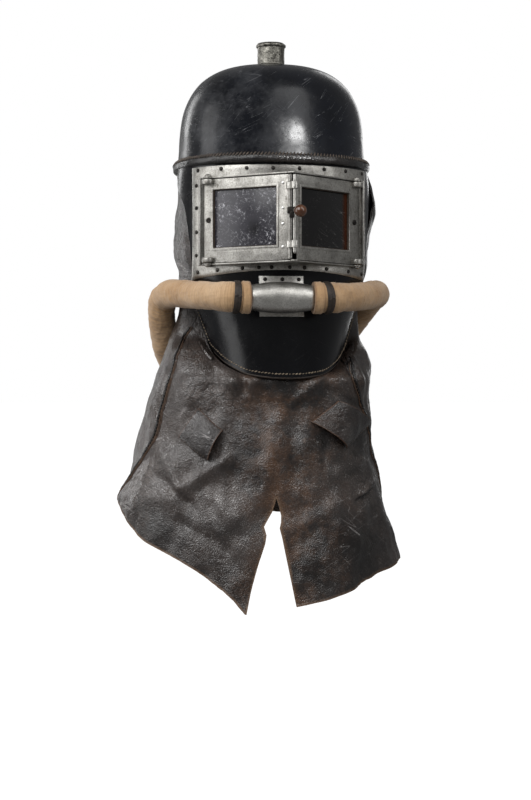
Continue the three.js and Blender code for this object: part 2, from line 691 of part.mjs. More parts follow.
function placeRivet(name, radius, height, foot, outward, material, parent) {
  const rivet = node(name, solid(rivetHead(radius, height)), material, parent);
  rivet.quaternion.setFromUnitVectors(new THREE.Vector3(0, 0, 1), outward);
  rivet.position.copy(foot);
}

// A rivet on a sheet that lies on the mask.
function maskRivet(name, x, z, sheet, parent) {
  const lift = visor.gap + sheet + 0.3;
  const foot = onMaskAt(x, z, lift);
  const beside = onMaskAt(x + 0.5, z, lift).sub(onMaskAt(x - 0.5, z, lift));
  const above = onMaskAt(x, z + 0.5, lift).sub(onMaskAt(x, z - 0.5, lift));
  const outward = beside.cross(above).normalize();
  placeRivet(name, rivetSize.flange, 1.5, foot, outward, finishes.darkMetal(), parent);
}

// ---- the assembly -------------------------------------------------------------------------

const helmet = new THREE.Group();

node("crown", crownShell(), finishes.japanned(), helmet);
node("seam_welt", weltRing(), finishes.thread(), helmet);
node("face_mask", faceMask(), finishes.japanned(), helmet);
node("hood_back", hoodBack(), finishes.soft(), helmet);
node("cape_front", capeFront(), finishes.soft(), helmet);
node("keeper_left", strapKeeper(keepers.left), finishes.soft(), helmet);
node("keeper_right", strapKeeper(keepers.right), finishes.soft(), helmet);
node("exhaust_tube", exhaustTube(), finishes.tin(), helmet);
node("visor_frame", visorFrame(), finishes.nickel(), helmet);
node("air_inlet", airInlet(), finishes.nickel(), helmet);
node("hose_left", hoseSolid(hoseRoutes.left, -1), finishes.hose(), helmet);
node("hose_right", hoseSolid(hoseRoutes.right, 1), finishes.hose(), helmet);
node("band_left", hoseBand(hoseRoutes.left), finishes.darkMetal(), helmet);
node("band_right", hoseBand(hoseRoutes.right), finishes.darkMetal(), helmet);
node("air_manifold", airManifold(), finishes.darkMetal(), helmet);

flangeRivets.top.forEach((x, i) => {
  maskRivet(`rivet_top_${i + 1}`, x, flangeRivets.topAt, visor.sheet, helmet);
});
flangeRivets.bottom.forEach((x, i) => {
  const z = (visor.opening.bottom - visor.ledge + visorFoot(x)) / 2;
  maskRivet(`rivet_foot_${i + 1}`, x, z, visor.sheet, helmet);
});
flangeRivets.side.forEach((z, i) => {
  maskRivet(`rivet_left_${i + 1}`, -flangeRivets.sideAt, z, visor.sheet, helmet);
  maskRivet(`rivet_right_${i + 1}`, flangeRivets.sideAt, z, visor.sheet, helmet);
});
inletRivets.forEach((x, i) => maskRivet(`rivet_inlet_${i + 1}`, x, -267.4, inletPlate.sheet, helmet));

// Each door hangs in a group of its own, turned and placed at its hinge axis.
const outwards = new THREE.Vector3(0, -1, 0);
for (const [side, way] of [["left", 1], ["right", -1]]) {
  const leaf = new THREE.Group();
  leaf.position.set(-way * hinge.x, -hinge.ahead, 0);
  leaf.rotation.z = -way * hingeAngle;
  helmet.add(leaf);
  node(`door_${side}`, doorLeaf(way, windows[side]), finishes.nickel(), leaf);
  node(`pane_${side}`, doorPane(way, windows[side]), finishes.glass(), leaf);
  const stile = way * ((windows[side].from - door.tail) / 2);
  const foot = new THREE.Vector3(stile, -door.front - 0.3, screwHeight);
  placeRivet(`screw_${side}`, rivetSize.screw, 1.6, foot, outwards, finishes.darkMetal(), leaf);
  if (side === "left") {
    node("collar_upper", boltCollar(collars.upper), finishes.nickel(), leaf);
    node("collar_lower", boltCollar(collars.lower), finishes.nickel(), leaf);
    doorRivets.heights.forEach((z, i) => {
      const place = new THREE.Vector3(doorRivets.along, -door.front - 0.3, z);
      placeRivet(`rivet_door_${i + 1}`, rivetSize.door, 1.2, place, outwards, finishes.nickel(), leaf);
    });
  }
}
node("bolt_rod", boltRod(), finishes.nickel(), helmet);
node("ball_knob", ballKnob(), finishes.horn(), helmet);

export default helmet;
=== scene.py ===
import json
import math
from functools import reduce

import bmesh
import bpy
import numpy as np
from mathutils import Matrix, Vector, kdtree, noise

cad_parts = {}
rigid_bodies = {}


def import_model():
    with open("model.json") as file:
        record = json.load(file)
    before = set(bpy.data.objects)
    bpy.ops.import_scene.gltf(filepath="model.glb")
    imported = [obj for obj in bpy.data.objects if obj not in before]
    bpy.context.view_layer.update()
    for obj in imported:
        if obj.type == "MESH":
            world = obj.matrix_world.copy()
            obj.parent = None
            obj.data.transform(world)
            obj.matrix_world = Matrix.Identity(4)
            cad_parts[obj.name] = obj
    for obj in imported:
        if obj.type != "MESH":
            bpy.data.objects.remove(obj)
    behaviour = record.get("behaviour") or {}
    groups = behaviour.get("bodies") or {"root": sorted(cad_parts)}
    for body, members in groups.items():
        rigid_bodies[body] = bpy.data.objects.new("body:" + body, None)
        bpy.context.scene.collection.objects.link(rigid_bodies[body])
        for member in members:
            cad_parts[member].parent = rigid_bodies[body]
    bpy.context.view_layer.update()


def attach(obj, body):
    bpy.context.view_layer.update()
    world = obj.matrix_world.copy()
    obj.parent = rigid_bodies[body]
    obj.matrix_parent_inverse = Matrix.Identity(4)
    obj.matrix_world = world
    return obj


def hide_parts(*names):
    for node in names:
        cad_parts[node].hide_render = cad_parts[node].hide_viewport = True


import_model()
mm = 0.001  # shapes are worked out in millimetres; "ahead" is the distance in front of the crown's axis
print("frame loaded")


# Shapes of the level sections, the same as in the part's source

def reader(rows):
    xs, ys = np.array(sorted(rows), float).T
    steps = np.diff(ys) / np.diff(xs)
    slopes = np.concatenate([steps[:1], (ys[2:] - ys[:-2]) / (xs[2:] - xs[:-2]), steps[-1:]])

    def read(x):
        x = np.clip(x, xs[0], xs[-1])
        i = np.clip(np.searchsorted(xs, x, side="right") - 1, 0, len(xs) - 2)
        w = xs[i + 1] - xs[i]
        t = (x - xs[i]) / w
        a = (2 * t**3 - 3 * t**2 + 1) * ys[i] + (3 * t**2 - 2 * t**3) * ys[i + 1]
        return a + (t**3 - 2 * t**2 + t) * w * slopes[i] + (t**3 - t**2) * w * slopes[i + 1]

    return read


def onSection(angle, left, right, ahead, behind, widest, z, backPower=2.2):
    s, c = np.sin(angle), np.cos(angle)
    power = np.where(c < 0, backPower, 2.2)
    side = np.where(s < 0, left, right)
    depth = np.where(c < 0, behind + widest, ahead - widest)
    x = np.sign(s) * side * np.abs(s) ** (2 / power)
    p = widest + np.sign(c) * depth * np.abs(c) ** (2 / power)
    return np.stack(np.broadcast_arrays(x, -p, z), -1)


def smoothstep(x, low, high):
    t = np.clip((x - low) / (high - low), 0, 1)
    return t * t * (3 - 2 * t)


def noiseField(points, scale, seed, octaves=3):
    offset = Vector((seed * 7.3, seed * 3.1, seed * 5.7))
    flat = np.asarray(points, float).reshape(-1, 3) / scale
    values = [noise.fractal(Vector(p) + offset, 0.6, 2.1, octaves) for p in flat]
    return np.array(values).reshape(np.asarray(points).shape[:-1])


def unit(vectors, least=1e-9):
    return vectors / np.maximum(np.linalg.norm(vectors, axis=-1, keepdims=True), least)


def gridNormals(grid):
    return unit(np.cross(np.gradient(grid, axis=1), np.gradient(grid, axis=0)))


# Distance along a line of points, from its first one to each
def reachAlong(points):
    return np.concatenate([[0], np.cumsum(np.linalg.norm(np.diff(points, axis=0), axis=1))])


def evenly(points, spacing):
    reach = reachAlong(points)
    count = max(int(round(reach[-1] / spacing)), 2)
    at = np.linspace(0, reach[-1], count + 1)
    return np.stack([np.interp(at, reach, points[:, k]) for k in range(3)], -1)


def fullTurn(count):
    return np.arange(count) * 2 * math.pi / count


# Shares of a sheet's width and height, as a row and a column
def shares(columns, rows):
    return np.linspace(0, 1, columns)[None, :], np.linspace(0, 1, rows)[:, None]


# Faces of a tube of rings; a closed one joins its last ring to its first
def ringFaces(count, sides, closed=False):
    at = lambda j, k: (j % count) * sides + k % sides
    cells = [(j, k) for j in range(count if closed else count - 1) for k in range(sides)]
    return [[at(j, k), at(j, k + 1), at(j + 1, k + 1), at(j + 1, k)] for j, k in cells]


# Faces of a prism whose two ends have n corners each
def prismFaces(n):
    ends = [list(range(n)), list(range(2 * n - 1, n - 1, -1))]
    return ends + [[k, (k + 1) % n, n + (k + 1) % n, n + k] for k in range(n)]


# Adds a node and returns its outputs; each input is a socket to link or a plain value
def addNode(tree, kind, inputs=(), **props):
    made = tree.nodes.new(kind)
    for key, value in props.items():
        setattr(made, key, value)
    for key, value in dict(inputs).items():
        socket = made.inputs[key]
        if isinstance(value, bpy.types.NodeSocket):
            tree.links.new(value, socket)
        elif socket.type == "RGBA":
            socket.default_value = (*value, 1)
        else:
            socket.default_value = value
    return made.outputs


def addObject(name, data):
    made = bpy.data.objects.new(name, data)
    bpy.context.scene.collection.objects.link(made)
    return made


# Mesh making

def volumeOf(verts, faces):
    total = 0.0
    for face in faces:
        a = verts[face[0]]
        for k in range(1, len(face) - 1):
            total += np.dot(a, np.cross(verts[face[k]], verts[face[k + 1]]))
    return total


# Collects closed shapes, in millimetres, into one piece
class Maker:
    def __init__(self):
        self.verts = []
        self.faces = []

    def add(self, verts, faces):
        verts = np.asarray(verts, float).reshape(-1, 3)
        if volumeOf(verts, faces) < 0:
            faces = [list(reversed(f)) for f in faces]
        base = len(self.verts)
        self.verts.extend(verts.tolist())
        self.faces.extend([[base + k for k in f] for f in faces])
        return self

    # A sheet between two grids of points; a hole is given as (from row, to row, from column, to column)
    def grid(self, outer, inner, goesRound=False, hole=None):
        rows, cols = outer.shape[:2]
        at = lambda side, i, j: side * rows * cols + j * cols + (i % cols if goesRound else i)
        last = cols if goesRound else cols - 1
        r0, r1, c0, c1 = hole or (0, 0, 0, 0)
        inHole = lambda i, j: r0 <= j < r1 and c0 <= i < c1
        faces = []
        for j in range(rows - 1):
            for i in range(last):
                if not inHole(i, j):
                    faces.append([at(0, i, j), at(0, i, j + 1), at(0, i + 1, j + 1), at(0, i + 1, j)])
                    faces.append([at(1, i, j), at(1, i + 1, j), at(1, i + 1, j + 1), at(1, i, j + 1)])
        for i in range(last):
            faces.append([at(0, i, 0), at(0, i + 1, 0), at(1, i + 1, 0), at(1, i, 0)])
            k = rows - 1
            faces.append([at(0, i, k), at(1, i, k), at(1, i + 1, k), at(0, i + 1, k)])
        if not goesRound:
            for j in range(rows - 1):
                k = cols - 1
                faces.append([at(0, 0, j), at(1, 0, j), at(1, 0, j + 1), at(0, 0, j + 1)])
                faces.append([at(0, k, j), at(0, k, j + 1), at(1, k, j + 1), at(1, k, j)])
        if hole:
            for i in range(c0, c1):
                faces.append([at(0, i, r0), at(1, i, r0), at(1, i + 1, r0), at(0, i + 1, r0)])
                faces.append([at(0, i, r1), at(0, i + 1, r1), at(1, i + 1, r1), at(1, i, r1)])
            for j in range(r0, r1):
                faces.append([at(0, c0, j), at(0, c0, j + 1), at(1, c0, j + 1), at(1, c0, j)])
                faces.append([at(0, c1, j), at(1, c1, j), at(1, c1, j + 1), at(0, c1, j + 1)])
        return self.add(np.concatenate([outer.reshape(-1, 3), inner.reshape(-1, 3)]), faces)

    def revolve(self, profile, origin, axis, sides=48, ring=False):
        axis = Vector(axis).normalized()
        turn = Vector((0, 0, 1)).rotation_difference(axis)
        verts, index = [], []
        for r, h in profile:
            if r < 1e-6:
                index.append([len(verts)] * sides)
                verts.append(Vector(origin) + turn @ Vector((0, 0, h)))
            else:
                index.append(list(range(len(verts), len(verts) + sides)))
                for k in range(sides):
                    a = 2 * math.pi * k / sides
                    verts.append(Vector(origin) + turn @ Vector((r * math.cos(a), r * math.sin(a), h)))
        faces = []
        count = len(profile)
        for j in range(count if ring else count - 1):
            a, b = index[j], index[(j + 1) % count]
            for k in range(sides):
                face = [a[k], a[(k + 1) % sides], b[(k + 1) % sides], b[k]]
                face = [v for n, v in enumerate(face) if v not in face[:n]]
                if len(face) > 2:
                    faces.append(face)
        return self.add([list(v) for v in verts], faces)

    # Closed rings joined into a closed hoop
    def loops(self, rings):
        return self.add(rings.reshape(-1, 3), ringFaces(*rings.shape[:2], closed=True))

    def rings(self, rings):
        count, sides = rings.shape[:2]
        verts = list(rings.reshape(-1, 3)) + [rings[0].mean(0), rings[-1].mean(0)]
        faces = ringFaces(count, sides)
        for k in range(sides):
            m = (k + 1) % sides
            faces.append([count * sides, m, k])
            faces.append([count * sides + 1, (count - 1) * sides + k, (count - 1) * sides + m])
        return self.add(verts, faces)

    def tube(self, path, radii, sides=16):
        path = np.asarray(path, float)
        radii = np.broadcast_to(np.asarray(radii, float), (len(path),))
        return self.rings(path[:, None] + spokes(path, sides)[0] * radii[:, None, None])

    def soft(self, verts, faces, bevel, place=None, segments=2):
        bm = bmesh.new()
        made = [bm.verts.new(v) for v in verts]
        for f in faces:
            bm.faces.new([made[k] for k in f])
        bmesh.ops.recalc_face_normals(bm, faces=bm.faces)
        edges = [e for e in bm.edges if e.calc_face_angle(0) > 0.4]
        bmesh.ops.bevel(bm, geom=edges, offset=bevel, segments=segments, affect="EDGES", profile=0.6)
        bm.verts.index_update()
        points = [place(*v.co) if place else list(v.co) for v in bm.verts]
        faces = [[v.index for v in f.verts] for f in bm.faces]
        bm.free()
        return self.add(points, faces)

    def block(self, low, high, bevel=0.4, place=None):
        (a, b, c), (d, e, f) = low, high
        verts = [(x, y, z) for z in (c, f) for y in (b, e) for x in (a, d)]
        faces = [[0, 2, 3, 1], [4, 5, 7, 6], [0, 1, 5, 4], [2, 6, 7, 3], [0, 4, 6, 2], [1, 3, 7, 5]]
        return self.soft(verts, faces, bevel, place)

    def prism(self, outline, low, high, bevel=0.4):
        verts = [(x, y, z) for z in (low, high) for x, y in outline]
        return self.soft(verts, prismFaces(len(outline)), bevel)

    # A round part on an upright axis through (x, y)
    def upright(self, profile, x, y, sides=24, ring=False):
        return self.revolve(profile, (x, y, 0), (0, 0, 1), sides, ring)

    # A flat rectangular frame: outer and inner are (from, to, low, high)
    def frame(self, outer, inner, near, far, bevel, place):
        verts = []
        for out in (near, far):
            for a, b, c, d in (outer, inner):
                verts += [(a, out, c), (b, out, c), (b, out, d), (a, out, d)]
        faces = []
        for k in range(4):
            m = (k + 1) % 4
            faces += [[k, m, 4 + m, 4 + k], [8 + k, 12 + k, 12 + m, 8 + m]]
            faces += [[k, 8 + k, 8 + m, m], [4 + k, 4 + m, 12 + m, 12 + k]]
        return self.soft(verts, faces, bevel, place)

    def finish(self, name, material, sharp=38):
        mesh = bpy.data.meshes.new(name)
        mesh.from_pydata((np.array(self.verts) * mm).tolist(), [], self.faces)
        mesh.materials.append(material)
        mesh.shade_smooth()
        mesh.set_sharp_from_angle(angle=math.radians(sharp))
        mesh.update()
        return addObject(name, mesh)


# Unit vectors round each point of a path, and the path's direction there
def spokes(path, count):
    tangents = unit(np.gradient(path, axis=0))
    side = np.cross(tangents[0], [0.0, 0.0, 1.0])
    if np.linalg.norm(side) < 0.2:
        side = np.cross(tangents[0], [0.0, 1.0, 0.0])
    sides = []
    for t in tangents:
        side = side - t * np.dot(side, t)
        side /= np.linalg.norm(side)
        sides.append(side)
    sides = np.array(sides)
    angles = fullTurn(count)[None, :, None]
    around = sides[:, None] * np.cos(angles) + np.cross(tangents, sides)[:, None] * np.sin(angles)
    return around, tangents


# A centripetal curve through the points, read at an even spacing
def smoothPath(points, spacing):
    pts = np.asarray(points, float)
    pts = np.vstack([2 * pts[0] - pts[1], pts, 2 * pts[-1] - pts[-2]])
    between = lambda u, t0, t1, a, b: (t1 - u) / (t1 - t0) * a + (u - t0) / (t1 - t0) * b
    fine = []
    for i in range(1, len(pts) - 2):
        p = pts[i - 1:i + 3]
        t = np.concatenate([[0], np.cumsum(np.linalg.norm(np.diff(p, axis=0), axis=1) ** 0.5)])
        for u in np.linspace(t[1], t[2], 24, endpoint=False):
            a = [between(u, t[k], t[k + 1], p[k], p[k + 1]) for k in range(3)]
            b = [between(u, t[k], t[k + 2], a[k], a[k + 1]) for k in range(2)]
            fine.append(between(u, t[1], t[2], b[0], b[1]))
    fine.append(pts[-2])
    return evenly(np.array(fine), spacing)


# Half section of a disc or a ring, with its outer corners cut off
def discProfile(hole, radius, low, high, cut):
    outer = [(radius - cut, low), (radius, low + cut), (radius, high - cut), (radius - cut, high)]
    return [(hole, low)] + outer + [(hole, high)]


def ride(piece, body, slot, *replaced):
    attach(piece, body)
    if replaced:
        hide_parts(*replaced)
    return piece


# Wear along an edge, one value for each point of the mesh; the materials read it
def markEdges(piece, values):
    edges = piece.data.attributes.new("rim", "FLOAT", "POINT")
    edges.data.foreach_set("value", np.asarray(values, np.float32).ravel())


# The same wear on the outer and the inner side of a grid, by rows and columns
def gridMark(rows, cols, *places):
    mark = np.zeros((2, rows, cols), np.float32)
    for row, col, value in places:
        mark[:, row, col] = value
    return mark


# Materials

# One procedural material, with short calls for its nodes
class Finish:
    def __init__(self, name, **sockets):
        self.material = bpy.data.materials.new(name)
        self.material.use_nodes = True
        self.tree = self.material.node_tree
        self.shader = self.tree.nodes["Principled BSDF"]
        self.coords = self.tree.nodes.new("ShaderNodeTexCoord").outputs["Object"]
        for key, value in sockets.items():
            self.shader.inputs[key.replace("_", " ")].default_value = value

    def node(self, kind, inputs=(), **props):
        return addNode(self.tree, "ShaderNode" + kind, inputs, **props)

    # Turns the coordinates, then stretches them along the turned axes
    def mapped(self, scale=(1, 1, 1), turn=(0, 0, 0), source=None):
        turned = [math.radians(a) for a in turn]
        inputs = {"Vector": source or self.coords, "Scale": [1 / k for k in scale], "Rotation": turned}
        return self.node("Mapping", inputs, vector_type="TEXTURE")["Vector"]

    # Soft patches round (x, height, radius), in metres, seen from the front: painted sheen on glossier
    # patches, or painted shade
    def patches(self, places, ragged=0.018):
        flat = self.node("CombineXYZ", {"X": self.axis("X"), "Z": self.axis("Z")})[0]
        uneven = self.times(self.less(self.noise(38, 5, 0.65), 0.5), ragged * 4)
        away = [(self.plus(self.distance(flat, (x, 0, z)), uneven), radius) for x, z, radius in places]
        return reduce(self.most, [self.remap(value, radius, radius * 0.25) for value, radius in away])

    # Thin wandering lines: the contour of a stretched noise
    def scratch(self, scale, turn, width, where=0.5):
        lines = self.noise(1, 2, 0.5, self.mapped(scale, turn))
        return self.remap(self.math("ABSOLUTE", self.less(lines, where)), 0.0, width, 1, 0)

    def noise(self, scale, detail=4, rough=0.55, vector=None):
        inputs = {"Vector": vector or self.coords, "Scale": scale, "Detail": detail, "Roughness": rough}
        return self.node("TexNoise", inputs)["Fac"]

    # A noise with its contrast raised: from low to high becomes 0 to 1
    def cloud(self, noise, low, high, to0=0.0, to1=1.0):
        return self.remap(self.noise(*noise), low, high, to0, to1)

    def cells(self, scale, feature="F1", vector=None):
        inputs = {"Vector": vector or self.coords, "Scale": scale}
        return self.node("TexVoronoi", inputs, feature=feature)["Distance"]

    def remap(self, value, low, high, to0=0.0, to1=1.0):
        inputs = {"Value": value, "From Min": low, "From Max": high, "To Min": to0, "To Max": to1}
        return self.node("MapRange", inputs)["Result"]

    def distance(self, a, b):
        return self.node("VectorMath", {0: a, 1: b}, operation="DISTANCE")["Value"]

    def math(self, kind, a, b=0.0):
        return self.node("Math", {0: a, 1: b}, operation=kind)[0]

    def times(self, a, b):
        return self.math("MULTIPLY", a, b)

    def most(self, a, b):
        return self.math("MAXIMUM", a, b)

    def plus(self, a, b):
        return self.math("ADD", a, b)

    def less(self, a, b):
        return self.math("SUBTRACT", a, b)

    def mix(self, factor, first, second):
        return self.node("Mix", {0: factor, 6: first, 7: second}, data_type="RGBA")[2]

    # Lays a colour over a base wherever the mask is, at a strength from 0 to 1
    def over(self, base, mask, strength, colour):
        return self.mix(self.times(mask, strength), base, colour)

    def axis(self, name):
        return self.node("SeparateXYZ", {"Vector": self.coords})[name]

    def attribute(self, name):
        return self.node("Attribute", attribute_name=name)["Fac"]

    def set(self, name, value):
        self.tree.links.new(value, self.shader.inputs[name])

    # Each bump lies over the one given as below
    def bump(self, height, distance, strength=1.0, below=None):
        inputs = {"Height": height, "Distance": distance, "Strength": strength}
        if below:
            inputs["Normal"] = below
        return self.node("Bump", inputs)["Normal"]


def enamelFinish(name, look):
    sockets = {"Coat_Weight": look["coat"], "Coat_Roughness": 0.10, "Specular_IOR_Level": look["specular"]}
    f = Finish(name, IOR=1.48, **sockets)
    patches = f.noise(11, 6, 0.62)
    lines = [
        f.scratch((3, 3, 62), (0, 42, 0), 0.0035), f.scratch((3, 3, 74), (0, -50, 10), 0.0035, 0.46),
        f.scratch((4, 4, 120), (0, 18, 0), 0.005, 0.55), f.scratch((5, 5, 150), (15, -28, 0), 0.006, 0.48),
    ]
    broken = [f.times(line, f.cloud((16 + 8 * k, 5, 0.65), 0.53, 0.60)) for k, line in enumerate(lines)]
    scratches = reduce(f.most, broken)
    scuffs = f.cloud((210, 9, 0.8), 0.56, 0.72)
    # The left side of the shell gets more scuffs, and a pale cloud painted over it as painted sheen
    sheenAndScuffsLeft = f.remap(f.axis("X"), 0.03, -0.09)
    scuffs = f.times(scuffs, f.most(f.remap(patches, 0.48, 0.66), f.times(sheenAndScuffsLeft, 0.6)))
    wornAndSheen = f.most(f.times(scratches, look["scratch"]), f.times(scuffs, look["scuff"]))
    base = f.mix(f.remap(patches, 0.35, 0.7), look["dark"], look["haze"])
    cloud = f.times(sheenAndScuffsLeft, f.cloud((26, 7, 0.7), 0.44, 0.66))
    base = f.over(base, cloud, look["cloud"], look["wearAndSheen"])
    f.set("Base Color", f.mix(wornAndSheen, base, look["wearAndSheen"]))
    rough = f.cloud((30, 6, 0.6), 0.3, 0.75, look["gloss"], look["dull"])
    f.set("Roughness", f.plus(rough, f.times(wornAndSheen, 0.25)))
    wave = f.bump(f.noise(24, 3), 0.0014, 0.4)
    pits = f.bump(f.noise(240, 4, 0.6), 0.00012, 0.35, wave)
    f.set("Normal", f.bump(f.times(wornAndSheen, -1), 0.0003, 0.8, pits))
    return f.material


def leatherFinish(name, look):
    f = Finish(name, IOR=1.5)
    wander = f.node("TexNoise", {"Vector": f.coords, "Scale": 60, "Detail": 2})["Color"]
    small = f.node("VectorMath", {0: wander, "Scale": 0.012}, operation="SCALE")[0]
    place = f.node("VectorMath", {0: f.coords, 1: small})[0]
    pebbles = f.cells(look["grain"], vector=place)
    creaseAt = lambda scale, width: f.remap(f.cells(scale, "DISTANCE_TO_EDGE", place), 0.0, width, 1, 0)
    creases = f.times(creaseAt(look["creases"], 0.11), f.cloud((13, 3), 0.44, 0.60))
    fine = f.times(creaseAt(look["creases"] * 2.3, 0.12), f.cloud((17, 3), 0.40, 0.60))
    middle = f.math("ABSOLUTE", f.less(f.axis("X"), 0.012))
    rubbed = f.times(f.remap(middle, 0.015, 0.085, 1.0, 0.16), f.cloud((26, 9, 0.70), 0.42, 0.64))
    base = f.mix(f.cloud((8, 7, 0.64), 0.35, 0.68), look["dark"], look["grey"])
    base = f.over(base, rubbed, look["rub"], look["brown"])
    # Pebble tops painted paler: painted sheen on the grain
    grainTopSheen = f.times(f.remap(pebbles, 0.10, 0.42, 1, 0), f.cloud((230, 7, 0.72), 0.46, 0.62))
    base = f.over(base, grainTopSheen, look["grainSheen"], look["pale"])
    # Listed patches: some painted lighter as painted sheen on glossier leather, others painted darker as
    # painted shade
    glossySheen = f.patches(look["glossySheenAt"])
    shaded = f.patches(look["shadedAt"], 0.03)
    base = f.over(base, glossySheen, 0.38, look["wornAndSheen"])
    base = f.over(base, shaded, 0.72, look["deep"])
    # Paler pebble tops inside the sheen patches: painted glints
    sheenGlintTops = f.times(f.remap(pebbles, 0.10, 0.34, 1, 0), f.cloud((330, 4, 0.7), 0.46, 0.60))
    sheenGlintTops = f.times(sheenGlintTops, f.most(glossySheen, 0.12))
    base = f.over(base, sheenGlintTops, look["sparkle"], look["bright"])
    base = f.mix(f.most(f.times(creases, 0.7), f.times(fine, 0.4)), base, look["deep"])
    marks = f.most(f.scratch((7, 7, 70), (0, 35, 0), 0.007), f.scratch((8, 8, 80), (0, -24, 0), 0.006, 0.53))
    marks = f.times(marks, f.cloud((15, 4), 0.56, 0.62))
    base = f.over(base, marks, look["marks"], look["pale"])
    f.set("Base Color", f.mix(f.attribute("rim"), base, look["edge"]))
    rough = f.cloud((45, 6, 0.6), 0.3, 0.7, look["gloss"], look["dull"])
    rough = f.less(rough, f.times(glossySheen, 0.06))
    f.set("Roughness", f.plus(rough, f.times(f.attribute("rim"), 0.3)))
    grain = f.bump(pebbles, 0.0005, look["pebble"])
    lines = f.bump(f.most(creases, f.times(fine, 0.4)), -0.00035, 0.5, grain)
    crumple = f.bump(f.noise(70, 3, 0.5), 0.0006, 0.35, lines)
    f.set("Normal", f.bump(f.noise(24, 2, 0.5), 0.0027, 0.6, crumple))
    return f.material


def metalFinish(name, look):
    f = Finish(name, Metallic=1.0)
    patches = f.noise(look["patch"], 8, 0.68)
    speckle = f.noise(640, 4, 0.7)
    spots = f.cloud((look["spot"], 6, 0.72), 0.56, 0.68)
    base = f.mix(f.remap(patches, 0.36, 0.66), look["bright"], look["dull"])
    base = f.over(base, f.remap(speckle, 0.42, 0.66), look["grain"], look["dark"])
    base = f.over(base, spots, look["dirt"], look["dark"])
    f.set("Base Color", base)
    rough = f.cloud((90, 7, 0.65), 0.3, 0.7, look["low"], look["high"])
    f.set("Roughness", f.plus(rough, f.times(spots, 0.2)))
    fine = f.bump(speckle, 0.00022, 0.6)
    f.set("Normal", f.bump(f.noise(look["dent"], 3), look["depth"], 0.6, fine))
    return f.material


def clothFinish(name, look):
    f = Finish(name, Sheen_Weight=0.25, Sheen_Roughness=0.5)
    uv = f.node("TexCoord")["UV"]

    def wave(scale, uneven, way):
        inputs = {"Vector": uv, "Scale": scale, "Distortion": uneven, "Detail": 2}
        return f.node("TexWave", inputs, bands_direction=way)["Fac"]

    weave = f.times(wave(look["ribs"], 0.6, "Y"), wave(look["threads"], 1.2, "X"))
    stains = f.noise(19, 8, 0.68)
    fold = f.noise(1, 5, 0.62, f.mapped((16, 420, 1), source=uv))
    base = f.mix(f.remap(stains, 0.34, 0.68), look["tan"], look["deep"])
    base = f.mix(f.cloud((8, 3), 0.46, 0.66), base, look["pale"])
    grime = f.cloud((330, 5, 0.7), 0.52, 0.70)
    gaps = f.remap(weave, 0.25, 0.0)
    creased = f.remap(fold, 0.50, 0.72)
    # Fold lines and the gaps between threads get painted shade; grime and the marked ends get the same dark
    # tone as dirt
    for mask, strength in ((creased, 0.5), (grime, 0.35), (gaps, 0.35), (f.attribute("rim"), 0.8)):
        base = f.over(base, mask, strength, look["shadeAndGrime"])
    f.set("Base Color", base)
    f.set("Roughness", f.remap(stains, 0.3, 0.7, 0.72, 0.9))
    woven = f.bump(weave, 0.0005, 0.6)
    f.set("Normal", f.bump(f.noise(75, 5, 0.6), 0.0014, 0.5, f.bump(fold, -0.0018, 0.7, woven)))
    return f.material


def glassFinish(name, look):
    f = Finish(name, IOR=1.5, Specular_IOR_Level=0.4)
    specks = f.cloud((330, 6, 0.8), 0.56, 0.66)
    streaks = f.cloud((120, 8, 0.8), 0.57, 0.66)
    where = f.cloud((34, 5, 0.62), 0.40, 0.60)
    spots = f.times(f.most(specks, streaks), where)
    film = f.cloud((18, 6, 0.65), 0.32, 0.70)
    # The film is painted lighter towards one side of each pane: partly dust, partly painted sheen
    side = f.remap(f.axis("X"), look["filmAndSheenFrom"], look["filmAndSheenTo"], 1.0, 0.25)
    base = f.mix(f.times(film, side), look["deep"], look["film"])
    base = f.over(base, spots, look["dust"], look["pale"])
    line = f.times(f.scratch((11, 11, 90), (0, 34, 0), 0.006), f.cloud((22, 3), 0.52, 0.58))
    base = f.over(base, line, 0.35, look["pale"])
    # A brown strip by one edge of the pane: painted reflection of the window's brown reveal
    brownReflectionEdge = f.remap(f.axis("X"), look["brownReflectionFrom"], look["brownReflectionTo"])
    base = f.over(base, brownReflectionEdge, look["brownReflection"], (0.070, 0.020, 0.008))
    uneven = f.less(f.times(f.noise(160, 5, 0.7), 0.012), 0.006)
    smudge = f.plus(f.distance(f.coords, look["smudge"]), uneven)
    base = f.mix(f.remap(smudge, 0.004, 0.013, look["smudged"], 0), base, (0.004, 0.004, 0.005))
    f.set("Base Color", base)
    f.set("Roughness", f.plus(f.remap(film, 0, 1, look["gloss"], look["dull"]), f.times(spots, 0.3)))
    return f.material


def plainFinish(name, light, dark, rough, scale, bump=0.0003, **sockets):
    f = Finish(name, **sockets)
    f.set("Base Color", f.mix(f.cloud((scale, 5, 0.6), 0.35, 0.65), light, dark))
    f.set("Roughness", f.cloud((scale * 0.6, 3), 0.3, 0.7, rough, rough + 0.15))
    f.set("Normal", f.bump(f.noise(scale * 3, 3), bump, 0.5))
    return f.material
